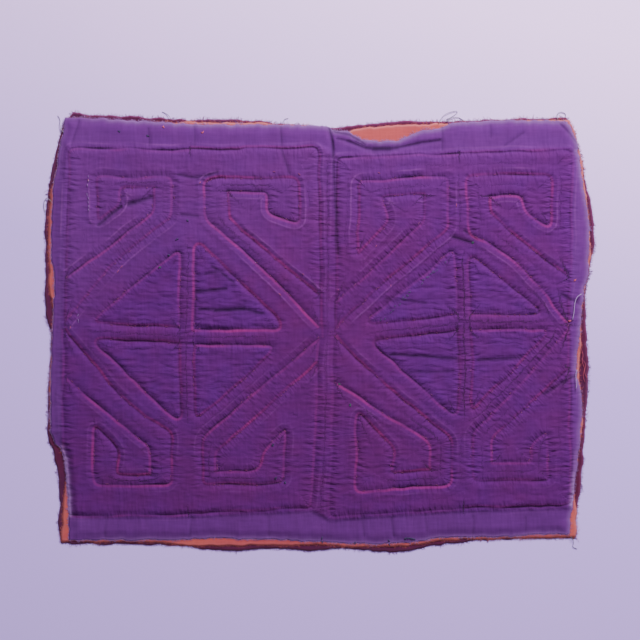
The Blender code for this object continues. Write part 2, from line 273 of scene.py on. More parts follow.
def put_mesh(name: str, places: np.ndarray, faces: list[np.ndarray],
             flat: tuple[int, ...] = ()) -> bpy.types.Object:
    """Make an object at the origin from arrays of places and faces.

    Args:
        name: The object's name.
        places: One row of X, Y and Z for each vertex.
        faces: Arrays of vertex numbers, each with one row for each face of its own corner count.
        flat: The numbers of the arrays whose faces are shaded flat.

    Returns:
        The new object, linked to the scene.
    """
    corners = np.concatenate([block.ravel() for block in faces]).astype(np.int32)
    totals = np.concatenate([np.full(len(block), block.shape[1]) for block in faces])
    starts = np.concatenate([[0], np.cumsum(totals)[:-1]]).astype(np.int32)
    smooth = np.concatenate([np.full(len(block), n not in flat)
                             for n, block in enumerate(faces)])
    mesh = bpy.data.meshes.new(name)
    mesh.vertices.add(len(places))
    mesh.vertices.foreach_set("co", places.astype(np.float32).ravel())
    mesh.loops.add(len(corners))
    mesh.loops.foreach_set("vertex_index", corners)
    mesh.polygons.add(len(totals))
    mesh.polygons.foreach_set("loop_start", starts)
    mesh.polygons.foreach_set("loop_total", totals.astype(np.int32))
    mesh.polygons.foreach_set("use_smooth", smooth)
    mesh.update(calc_edges=True)
    mesh.validate()
    item = bpy.data.objects.new(name, mesh)
    bpy.context.scene.collection.objects.link(item)
    return item


def tubes(paths: np.ndarray, radii: np.ndarray, sides: int) -> tuple[np.ndarray, list[np.ndarray]]:
    """Round tubes along many short paths: a circle carried square to each path's own direction.

    Args:
        paths: Places, one block for each tube, one row for each point along it.
        radii: The radius at each point of each tube.
        sides: How many sides each tube has.

    Returns:
        The vertices, and the faces: the walls, then a cap for each end.
    """
    count, steps, _ = paths.shape
    run = unit(np.gradient(paths, axis=1))
    aside = np.cross(run, np.array([0.0, 0.0, 1.0]))
    slant = np.linalg.norm(aside, axis=2, keepdims=True)
    aside = np.where(slant > LEAST_SLANT, aside / np.maximum(slant, LEAST_SLANT),
                     np.array([1.0, 0.0, 0.0]))
    over = np.cross(aside, run)
    turn = np.linspace(0.0, 2 * math.pi, sides, endpoint=False)
    ring = (aside[:, :, None, :] * np.cos(turn)[:, None] + over[:, :, None, :]
            * np.sin(turn)[:, None]) * radii[:, :, None, None]
    places = (paths[:, :, None, :] + ring).reshape(-1, 3)
    index = np.arange(count * steps * sides).reshape(count, steps, sides)
    here, after = index[:, :-1], index[:, 1:]
    walls = np.stack([here, after, np.roll(after, -1, axis=2), np.roll(here, -1, axis=2)], axis=3)
    caps = np.concatenate([index[:, 0], index[:, -1, ::-1]])
    return places, [walls.reshape(-1, 4), caps]


class SeamKind(Enum):
    """What a line in the backing is."""

    FRAME = "frame round a unit"
    HOOK = "outer edge of a hook, with the diamond's edge"
    BAND = "inner edge of a hook"
    TRIANGLE = "inner triangle"
    TURNED_EDGE = "turned edge of an inner cloth"


# How deep and how wide each kind's groove is, or its ridge for a turned edge, in millimetres.
SEAM_SIZES = {
    SeamKind.FRAME: (0.62, 1.2),
    SeamKind.HOOK: (0.6, 1.1),
    SeamKind.BAND: (0.55, 1.1),
    SeamKind.TRIANGLE: (0.7, 1.15),
    SeamKind.TURNED_EDGE: (0.35, 1.1),
}


@dataclass(frozen=True)
class Seam:
    """A line in the backing: its points, and the depth and width of its groove."""

    kind: SeamKind
    points: np.ndarray
    depth: float
    width: float


@dataclass(frozen=True)
class Quadrant:
    """One quadrant of a unit, as fractions of the way from the unit's middle to its frame.

    `tip` to `bulge` place the diamond's edge, `neck` to `heel` the hook's outer edge, `barb_out` to
    `elbow` its inner edge, `root` the band's foot on the frame, and the legs the inner triangle.
    `edging` and `welt` are how far the turned edges beside the frame and the hook show, as shares.
    """

    unit: int
    side: int
    level: int
    tip: float
    bulge: float
    neck: float
    neck_low: float
    hook_top: float
    hook_out: float
    heel: float
    barb_out: float
    barb_up: float
    lip: float
    shelf: float
    crook: float
    elbow: float
    root: float
    leg_out: float
    leg_up: float
    edging: float = 0.3
    welt: float = 1.0


@dataclass(frozen=True)
class Crease:
    """A crease pressed into the backing, in millimetres: its ends, depth and width."""

    x0: float
    y0: float
    x1: float
    y1: float
    depth: float
    width: float


@dataclass(frozen=True)
class Design:
    """The sewn design: two units side by side, each a diamond round a plus in a square frame."""

    # Left end, middle and right end of the top, centre and bottom of each unit's frame, in mm.
    nets: tuple[Net, Net] = (
        (((-192.8, 141.3), (-99.5, 140.0), (-1.5, 141.3)),
         ((-195.0, 2.0), (-101.6, -2.7), (0.0, -4.2)),
         ((-195.8, -139.0), (-101.6, -139.0), (-5.2, -134.4))),
        (((12.4, 134.2), (106.6, 136.8), (191.6, 139.7)),
         ((11.0, -2.7), (111.2, 8.8), (190.0, 8.0)),
         ((8.6, -141.3), (109.7, -134.4), (193.0, -132.1))),
    )
    # Unit, side (0 left, 2 right) and level (0 top, 2 bottom), then the fractions.
    quadrants: tuple[Quadrant, ...] = (
        Quadrant(0, 0, 0, 0.03, 0.06, 0.125, 0.63, 0.85, 0.76, 0.59,
                 0.55, 0.69, 0.015, 0.79, 0.29, 0.66, 0.28, 0.76, 0.455, edging=0.8),
        Quadrant(0, 2, 0, 0.05, 0.03, 0.125, 0.63, 0.84, 0.84, 0.60,
                 0.61, 0.66, 0.01, 0.775, 0.29, 0.63, 0.22, 0.71, 0.49, edging=0.4),
        Quadrant(0, 0, 2, -0.01, 0.07, 0.13, 0.545, 0.84, 0.745, 0.51,
                 0.55, 0.64, 0.04, 0.785, 0.29, 0.63, 0.25, 0.74, 0.475, welt=0.4),
        Quadrant(0, 2, 2, 0.0, 0.0, 0.12, 0.57, 0.845, 0.77, 0.52,
                 0.585, 0.66, -0.03, 0.765, 0.24, 0.655, 0.15, 0.66, 0.47, welt=0.4),
        Quadrant(1, 0, 0, 0.02, 0.04, 0.09, 0.535, 0.87, 0.83, 0.43,
                 0.565, 0.62, 0.08, 0.76, 0.30, 0.61, 0.19, 0.75, 0.43, edging=0.35),
        Quadrant(1, 2, 0, -0.01, 0.09, 0.065, 0.51, 0.86, 0.82, 0.55,
                 0.60, 0.65, -0.03, 0.745, 0.25, 0.65, 0.25, 0.72, 0.38, edging=0.6, welt=0.75),
        Quadrant(1, 0, 2, 0.0, 0.035, 0.10, 0.61, 0.87, 0.81, 0.43,
                 0.52, 0.66, 0.05, 0.785, 0.245, 0.63, 0.25, 0.70, 0.49, welt=0.5),
        Quadrant(1, 2, 2, 0.02, 0.02, 0.07, 0.60, 0.86, 0.79, 0.59,
                 0.62, 0.66, 0.0, 0.76, 0.27, 0.63, 0.25, 0.79, 0.48, welt=0.3),
    )
    # Half the plus's bars and the triangle's cut corners, as fractions of a quadrant.
    bar_out: float = 0.055
    bar_up: float = 0.042
    triangle_cut: float = 0.035
    bow_points: int = 6
    # How far the turned edge of an inner cloth lies from its seam, and the shares of that beside
    # the hook, the frame and the band, with a minus on the seam's outer side.
    turned_edge: float = 4.8 * MM
    beside_hook: float = -1.1
    beside_frame: float = -0.85
    beside_band: float = -1.0
    # The seams' even step, and how often their corners are averaged.
    step: float = 2.5 * MM
    rounding: int = 4
    # The heights and pitches, in mm, of the noises by which a seam strays from the drawn line.
    strays: tuple[tuple[float, float], ...] = ((1.1, 24), (0.44, 7))

    creases: tuple[Crease, ...] = (
        # The tuck under the dip in the top edge, and the fold between the units.
        Crease(13, 148, 19, 147, 0.8, 1.5), Crease(19, 147, 34, 141.5, 1.4, 1.6),
        Crease(34, 141.5, 40, 140.8, 1.9, 2.0), Crease(40, 140.8, 54, 140.2, 3.0, 2.7),
        Crease(54, 140.2, 60, 140.8, 1.9, 2.0), Crease(60, 140.8, 76, 143.5, 1.5, 1.5),
        Crease(76, 143.5, 93, 147.5, 1.1, 1.4), Crease(11, 153.5, 22, 151.5, 0.9, 1.4),
        Crease(22, 151.5, 33, 144.5, 1.0, 1.5),
        Crease(7, 157, 10, 134, 1.1, 1.5), Crease(10, 134, 13, 60, 0.6, 1.6),
        # The corners.
        Crease(-184, 162, -190, 143, 0.55, 1.4), Crease(184, 160, 196, 145, 0.6, 1.5),
        # The top margin.
        Crease(-131, 156, -131, 144, 0.4, 1.4), Crease(-96, 160, -96, 141, 0.4, 1.4),
        Crease(-29, 158, -29, 142, 0.45, 1.4), Crease(-29, 142, -24, 122, 0.5, 1.4),
        Crease(94, 156, 94, 140, 0.45, 1.4), Crease(131, 158, 131, 149, 0.3, 1.4),
        Crease(156, 153, 142, 143, 0.4, 1.4),
        # The bottom margin.
        Crease(117, -141, 117, -156, 0.35, 1.4), Crease(158, -141, 158, -155, 0.35, 1.4),
        Crease(-164, -142, -164, -156, 0.3, 1.8), Crease(-99, -142, -100, -158, 0.35, 1.8),
        Crease(34, -141, 34, -156, 0.35, 1.7), Crease(55, -143, 57, -156, 0.45, 1.6),
        Crease(81, -140, 82, -152, 0.3, 1.6), Crease(-40, -142, -39, -155, 0.25, 1.8),
        # The right-hand edge, drawn in by its seam.
        Crease(197, -32, 172, -46, 0.6, 1.6), Crease(200, 22, 186, 30, 0.6, 1.8),
        # Deep folds at the hooks' ends and round the crossings.
        Crease(-147, 98, -129, 103, 1.1, 2.0), Crease(-170, 82, -152, 96, 1.1, 1.5),
        Crease(-107, 120, -93, 119, 0.8, 1.4), Crease(-93, 119, -78, 122, 0.7, 1.4),
        Crease(101, 72, 116, 68, 0.8, 1.3), Crease(110, 77, 119, 71, 0.7, 1.3),
        Crease(-106, 90, -94, 88, 0.5, 1.3), Crease(-82, 50, -66, 38, 0.5, 1.4),
        # Wrinkles across the fields of the inner triangles.
        Crease(-87, 45, -75, 46, 0.5, 1.4), Crease(-95, 32, -72, 33, 0.7, 1.5),
        Crease(-92, 18, -80, 18, 0.6, 1.4), Crease(-80, 17, -58, 18, 0.9, 1.6),
        Crease(-58, 18, -45, 15, 0.6, 1.5),
        Crease(54, -17, 104, -20, 0.6, 1.5), Crease(120, -20, 154, -19, 0.6, 1.5),
        Crease(70, -31, 100, -30, 0.4, 1.4), Crease(50, 26, 80, 22, 0.4, 1.5),
    )

    def place(self, quadrant: Quadrant, fractions: list[Place]) -> np.ndarray:
        """Carry fractions of a quadrant to the cloth: a mix of the quadrant's four corners.

        Args:
            quadrant: The quadrant.
            fractions: Pairs of fractions, outwards along X and away along Y.

        Returns:
            The places in metres, one row each.
        """
        net = np.array(self.nets[quadrant.unit]) * MM
        middle, side = net[1, 1], net[1, quadrant.side]
        head, corner = net[quadrant.level, 1], net[quadrant.level, quadrant.side]
        out, up = np.array(fractions).T[:, :, None]
        return ((1 - out) * (1 - up) * middle + out * (1 - up) * side
                + out * up * corner + (1 - out) * up * head)

    def seam(self, kind: SeamKind, quadrant: Quadrant, fractions: list[Place]) -> Seam:
        """A seam of one quadrant, at an even step.

        Its corners are rounded by averaging: each point becomes half itself and a quarter of each
        neighbour, a few times over.

        Args:
            kind: What the seam is.
            quadrant: The quadrant.
            fractions: Its corners, outwards along X and away along Y.

        Returns:
            The seam.
        """
        points = self.place(quadrant, fractions)
        points = resample(points, max(3, int(line_length(points) / self.step) + 1))
        for _ in range(self.rounding):
            points[1:-1] = (points[:-2] + 2 * points[1:-1] + points[2:]) / 4
        points = self.stray(points)
        depth, width = SEAM_SIZES[kind]
        return Seam(kind, points, depth * MM, width * MM)

    def quadrant_seams(self, q: Quadrant) -> list[Seam]:
        """The sewn lines of one quadrant.

        The diamond's edge is a straight line with a parabola's bow on it.

        Args:
            q: The quadrant.

        Returns:
            The hook with the diamond's edge, the band, the triangle, the frame, and the turned
            edges that lie beside all but the triangle.
        """
        t = np.linspace(0.0, 1.0, self.bow_points)
        diamond = list(zip(1.0 + (q.neck - 1.0) * t,
                           q.tip + (q.neck_low - q.tip) * t + 4 * q.bulge * t * (1 - t)))
        hook = diamond + [(q.neck, q.hook_top), (q.hook_out, q.hook_top), (q.hook_out, q.heel),
                          (q.barb_out, q.barb_up), (q.barb_out + q.lip, q.shelf),
                          (q.crook, q.shelf)]
        band = [(q.crook, q.shelf), (q.crook, q.elbow), (1.0, q.root)]
        cut = self.triangle_cut
        triangle = [(self.bar_out, self.bar_up), (self.bar_out, q.leg_up),
                    (self.bar_out + cut, q.leg_up), (q.leg_out, self.bar_up + cut),
                    (q.leg_out, self.bar_up), (self.bar_out, self.bar_up)]
        frame = [(0.0, 1.0), (1.0, 1.0), (1.0, 0.0)]
        sewn = [self.seam(SeamKind.HOOK, q, hook), self.seam(SeamKind.BAND, q, band),
                self.seam(SeamKind.TRIANGLE, q, triangle), self.seam(SeamKind.FRAME, q, frame)]
        foot = self.seam(SeamKind.BAND, q, band[1:])
        hand = 1 if (q.side == 0) == (q.level == 0) else -1
        depth, width = SEAM_SIZES[SeamKind.TURNED_EDGE]
        for seam, offset, share in ((sewn[0], self.beside_hook, q.welt),
                                    (sewn[3], self.beside_frame, q.edging),
                                    (foot, self.beside_band, q.welt)):
            inner = beside(seam.points, hand * offset * self.turned_edge)
            sewn.append(Seam(SeamKind.TURNED_EDGE, inner, share * depth * MM, width * MM))
        return sewn

    def seams(self) -> list[Seam]:
        """Every sewn line of both units."""
        return [seam for quadrant in self.quadrants for seam in self.quadrant_seams(quadrant)]

    def crease_lines(self) -> list[np.ndarray]:
        """Every crease's line, strayed from its straight run.

        Returns:
            The points of each, in metres.
        """
        lines = []
        for c in self.creases:
            line = np.array([(c.x0, c.y0), (c.x1, c.y1)]) * MM
            lines.append(self.stray(resample(line, max(2, int(line_length(line) / self.step)))))
        return lines

    def stray(self, points: np.ndarray) -> np.ndarray:
        """Move points by the sum of two smooth noises, as a hand strays from a drawn line.

        Args:
            points: The drawn points, one row each.

        Returns:
            The moved points.
        """
        x, y = points.T
        shift = [sum(Noise(pitch, pitch, seed + 2 * n, height * MM).at(x, y)
                     for n, (height, pitch) in enumerate(self.strays)) for seed in (1, 2)]
        return points + np.column_stack(shift)


@dataclass(frozen=True)
class Tuck:
    """A place where a cloth's edge is drawn aside, in millimetres: place, shift and reach."""

    x: float
    y: float
    shift_x: float
    shift_y: float
    reach: float


# Where the middle cloth slips in under the backing, and where the backing stands up past it.
TUCKS = {
    "middle_layer": (
        Tuck(-203, 138, 3.0, 0, 24), Tuck(-205, 18, 2.6, 0, 12), Tuck(-203, -103, 5.5, 0, 19),
        Tuck(-203, -142, 1.6, 0, 14), Tuck(199, 120, -0.7, 0, 40), Tuck(198, -112, -2.4, 0, 16),
        Tuck(-150, 163, 0, -1.8, 30), Tuck(48, 162, 0, -1.5, 42), Tuck(13, 158, 0, -3.0, 11),
    ),
    "backing_layer": (Tuck(18, 154, 0, 2.6, 9),),
}


@dataclass
class ClothCut:
    """The cut outline of a cloth, read from its solid, as four sides between its corners."""

    node: str
    # The heights and pitches, in millimetres, of the noises that make its edge ragged.
    shears: tuple[tuple[float, float], ...] = ((0.7, 11), (0.55, 4.2), (0.4, 1.9))
    first_seed: int = 80
    step: float = 2.0 * MM
    # How far above the solid's lowest point its underside ends, and how wide it is for its height.
    flatness: float = 0.05 * MM
    shape: float = 1.25

    def sides(self) -> dict[str, np.ndarray]:
        """The four sides, each from left to right or from bottom to top.

        The solid's underside has corners only on its outline.  They are put in order by their
        angle round the middle, and cut at the four that reach furthest along the diagonals.

        Returns:
            The points of the bottom, right, top and left sides.
        """
        mesh = bpy.data.objects[self.node].data
        co = np.empty(len(mesh.vertices) * 3)
        mesh.vertices.foreach_get("co", co)
        co = co.reshape(-1, 3)
        low = co[co[:, 2] < co[:, 2].min() + self.flatness][:, :2]
        low = np.unique(np.round(low, 6), axis=0)
        loop = low[np.argsort(np.arctan2(low[:, 1], low[:, 0]))]
        starts = [int(np.argmax(loop @ np.array((way_x * self.shape, way_y))))
                  for way_x, way_y in ((-1, -1), (1, -1), (1, 1), (-1, 1))]
        runs = {}
        for name, first, last in zip(("bottom", "right", "top", "left"), starts,
                                     starts[1:] + starts[:1]):
            count = (last - first) % len(loop)
            runs[name] = loop[np.arange(first, first + count + 1) % len(loop)]
        runs["top"], runs["left"] = runs["top"][::-1], runs["left"][::-1]
        return runs

    def ragged(self, points: np.ndarray) -> np.ndarray:
        """Move an edge's points by smooth noises, as shears and fraying leave it, and by tucks.

        A tuck draws them aside by its shift times a bell curve of their distance to its place.

        Args:
            points: The edge's points.

        Returns:
            The moved points.
        """
        x, y = points.T
        seed = self.first_seed + 10 * len(self.node)
        moves = [sum(Noise(pitch, pitch, seed + k + 2 * n, height * MM).at(x, y)
                     for n, (height, pitch) in enumerate(self.shears)) for k in (0, 1)]
        moved = points + np.column_stack(moves)
        for tuck in TUCKS.get(self.node, ()):
            away = np.hypot(x - tuck.x * MM, y - tuck.y * MM)[:, None]
            moved += bell(away, tuck.reach * MM) * np.array((tuck.shift_x, tuck.shift_y)) * MM
        return moved

    def outline(self) -> np.ndarray:
        """The whole ragged outline, anticlockwise.

        Returns:
            Its points, the first repeated at their end.
        """
        sides = self.sides()
        loop = np.vstack([sides["bottom"], sides["right"][1:], sides["top"][-2::-1],
                          sides["left"][-2::-1]])
        return self.ragged(resample(loop, int(line_length(loop) / self.step)))

    def grid(self, columns: int, rows: int) -> np.ndarray:
        """A grid of places over the cloth, blended from its four sides.

        Each place is the mix of the two places across, plus the mix of the two along, less the
        mix of the four corners.

        Args:
            columns: How many cells along X.
            rows: How many cells along Y.

        Returns:
            The places, in rows from bottom to top and columns from left to right.
        """
        sides = self.sides()
        bottom, top = (self.ragged(resample(sides[k], columns + 1)) for k in ("bottom", "top"))
        left, right = (self.ragged(resample(sides[k], rows + 1)) for k in ("left", "right"))
        u = np.linspace(0.0, 1.0, columns + 1)[None, :, None]
        v = np.linspace(0.0, 1.0, rows + 1)[:, None, None]
        across = (1 - u) * left[:, None] + u * right[:, None]
        along = (1 - v) * bottom[None] + v * top[None]
        corners = ((1 - v) * ((1 - u) * bottom[0] + u * bottom[-1])
                   + v * ((1 - u) * top[0] + u * top[-1]))
        return across + along - corners


def rim_of(rows: int, columns: int) -> np.ndarray:
    """The numbers of a grid's outer points, anticlockwise from its lower left corner."""
    index = np.arange(rows * columns).reshape(rows, columns)
    return np.concatenate([index[0, :-1], index[:-1, -1], index[-1, :0:-1], index[:0:-1, 0]])


def sheet_mesh(name: str, top: np.ndarray, under: np.ndarray | float) -> bpy.types.Object:
    """A closed cloth: a grid on top, a wall round its rim, and an underside.

    Args:
        name: The object's name.
        top: The grid of places of the upper face.
        under: The grid of heights of the underside, or one height for a plain filled underside.

    Returns:
        The new object.
    """
    rows, columns, _ = top.shape
    index = np.arange(rows * columns).reshape(rows, columns)
    quads = np.stack([index[:-1, :-1], index[:-1, 1:], index[1:, 1:], index[1:, :-1]], axis=2)
    quads = quads.reshape(-1, 4)
    rim = rim_of(rows, columns)
    places = top.reshape(-1, 3)
    if isinstance(under, float):
        below = places[rim].copy()
        below[:, 2] = under
        low = len(places) + np.arange(len(rim))
        floor = [low[::-1][None]]
    else:
        below = places.copy()
        below[:, 2] = under.ravel()
        low = len(places) + rim
        floor = [quads[:, ::-1] + len(places)]
    wall = np.column_stack([rim, low, np.roll(low, -1), np.roll(rim, -1)])
    return put_mesh(name, np.vstack([places, below]), [quads, wall, *floor], flat=(1,))


def set_attribute(item: bpy.types.Object, name: str, values: np.ndarray) -> None:
    """Store one number for each vertex, 0 for those past the end of the values.

    Args:
        item: The object.
        name: The attribute's name.
        values: The numbers of the first vertices.
    """
    full = np.zeros(len(item.data.vertices), dtype=np.float32)
    full[:values.size] = values.ravel()
    item.data.attributes.new(name, "FLOAT", "POINT").data.foreach_set("value", full)


def add_node(tree: bpy.types.NodeTree, kind: str, values: dict[str | int, object] | None = None,
             links: dict[str | int, bpy.types.NodeSocket] | None = None,
             **settings: object) -> bpy.types.Node:
    """Add a shader node with its settings, socket values and incoming links.

    Args:
        tree: The material's node tree.
        kind: The node's type name.
        values: Values for its input sockets.
        links: Sockets that feed its input sockets.
        settings: Values for its own properties.

    Returns:
        The new node.
    """
    node = tree.nodes.new(kind)
    for key, value in settings.items():
        setattr(node, key, value)
    for key, value in (values or {}).items():
        node.inputs[key].default_value = value
    for key, socket in (links or {}).items():
        tree.links.new(socket, node.inputs[key])
    return node


def bands_per_metre(period: float) -> float:
    """The scale of a Wave texture whose bands repeat at the period: it turns 20 radians a unit."""
    return 2 * math.pi / 20 / period


def new_finish(name: str, roughness: float) -> tuple[bpy.types.Material, bpy.types.NodeTree,
                                                     bpy.types.Node]:
    """Start a material.

    Args:
        name: Its name.
        roughness: How matt it is, from 0 to 1.

    Returns:
        The material, its node tree and its shader.
    """
    material = bpy.data.materials.new(name)
    material.use_nodes = True
    shader = material.node_tree.nodes["Principled BSDF"]
    shader.inputs["Roughness"].default_value = roughness
    return material, material.node_tree, shader


@dataclass(frozen=True)
class WovenCotton:
    """Plain-woven, piece-dyed cotton: matt, a little fuzzy, with uneven yarns.

    The eye gets a dull even colour with faint slubs along both yarns, and paler raw edges.
    """

    name: str
    cloth: str
    warm: str
    # The colour of painted shade, mixed in by how deep the cloth is creased.
    deep: str
    rim: str
    yarn: float = 0.9 * MM  # Real yarns are about 0.35 mm apart, too fine to show in the picture.
    slub: float = 14 * MM
    slub_stretch: float = 9.0  # How many times longer a slub is than it is wide.
    mottle: float = 22 * MM
    noise_range: tuple[float, float] = (0.9, 2.1)  # What the sum of its three noises runs over.
    shade_range: tuple[float, float] = (0.84, 1.16)  # The darkest and the palest yarns' shades.
    roughness: float = 0.9
    specular: float = 0.12
    sheen: float = 0.03
    sheen_roughness: float = 0.5
    relief: float = 0.028  # How high the yarns stand, in millimetres.

    def attribute(self, tree: bpy.types.NodeTree, name: str) -> bpy.types.NodeSocket:
        """Read one of the cloth's own numbers, by its name."""
        return add_node(tree, "ShaderNodeAttribute", attribute_name=name).outputs["Fac"]

    def blend(self, tree: bpy.types.NodeTree, colour: bpy.types.NodeSocket, other: str,
              share: bpy.types.NodeSocket) -> bpy.types.NodeSocket:
        """Mix another colour into one by a share.

        Args:
            tree: The material's node tree.
            colour: The colour.
            other: The other colour, as hex.
            share: The share of the other one.

        Returns:
            The mixed colour.
        """
        return add_node(tree, "ShaderNodeMix", {7: linear(other)}, {0: share, 6: colour},
                        data_type="RGBA").outputs[2]

    def tone(self, tree: bpy.types.NodeTree) -> bpy.types.NodeSocket:
        """The dye's colour: warmer in patches, darkened by painted shade in creases, paler at the
        raw edge.

        Args:
            tree: The material's node tree.

        Returns:
            The colour.
        """
        base = add_node(tree, "ShaderNodeMix", {6: linear(self.cloth), 7: linear(self.warm)},
                        {0: self.attribute(tree, "warmth")}, data_type="RGBA").outputs[2]
        # Painted shade in the creases.
        base = self.blend(tree, base, self.deep, self.attribute(tree, "depth"))
        return self.blend(tree, base, self.rim, self.attribute(tree, "raw_edge"))

    def extra_relief(self, tree: bpy.types.NodeTree, place: bpy.types.NodeSocket,
                     relief: bpy.types.NodeSocket) -> bpy.types.NodeSocket:
        """The yarns' relief as it is, for a plain cloth with nothing sewn through it."""
        return relief

    def build(self) -> bpy.types.Material:
        """Make the material: its colour from the cloth's own numbers, its bump from yarns.

        The shade and the bump both follow the sum of two slub noises and a mottle.

        Returns:
            The material.
        """
        material, tree, shader = new_finish(self.name, self.roughness)
        place = add_node(tree, "ShaderNodeTexCoord").outputs["Object"]
        mottle = add_node(tree, "ShaderNodeTexNoise", {"Scale": 1 / self.mottle, "Detail": 3.0},
                          {"Vector": place})
        stretch = [add_node(tree, "ShaderNodeMapping", {"Scale": scale}, {"Vector": place})
                   for scale in ((1.0, self.slub_stretch, 1.0), (self.slub_stretch, 1.0, 1.0))]
        slubs = [add_node(tree, "ShaderNodeTexNoise", {"Scale": 1 / self.slub, "Detail": 2.0},
                          {"Vector": turned.outputs[0]}) for turned in stretch]
        yarns = [add_node(tree, "ShaderNodeTexWave",
                          {"Scale": bands_per_metre(self.yarn), "Distortion": 1.2, "Detail": 1.0},
                          {"Vector": place}, bands_direction=way) for way in ("X", "Y")]
        spread = add_node(tree, "ShaderNodeMath", links={
            0: slubs[0].outputs["Fac"], 1: slubs[1].outputs["Fac"]}, operation="ADD")
        spread = add_node(tree, "ShaderNodeMath", links={
            0: spread.outputs[0], 1: mottle.outputs["Fac"]}, operation="ADD")
        (least, most), (dark, pale) = self.noise_range, self.shade_range
        shade = add_node(tree, "ShaderNodeMapRange", {1: least, 2: most, 3: dark, 4: pale},
                         {0: spread.outputs[0]})
        colour = add_node(tree, "ShaderNodeVectorMath", links={
            0: self.tone(tree), 1: shade.outputs[0]}, operation="MULTIPLY")
        tree.links.new(colour.outputs[0], shader.inputs["Base Color"])
        weave = add_node(tree, "ShaderNodeMath", links={
            0: yarns[0].outputs["Fac"], 1: yarns[1].outputs["Fac"]}, operation="MAXIMUM")
        relief = add_node(tree, "ShaderNodeMath", links={
            0: spread.outputs[0], 1: weave.outputs[0]}, operation="ADD")
        relief = add_node(tree, "ShaderNodeMath", {1: self.relief}, {0: relief.outputs[0]},
                          operation="MULTIPLY")
        bump = add_node(tree, "ShaderNodeBump", {"Strength": 1.0, "Distance": MM},
                        {"Height": self.extra_relief(tree, place, relief.outputs[0])})
        tree.links.new(bump.outputs[0], shader.inputs["Normal"])
        shader.inputs["Specular IOR Level"].default_value = self.specular
        shader.inputs["Sheen Weight"].default_value = self.sheen
        shader.inputs["Sheen Roughness"].default_value = self.sheen_roughness
        return material


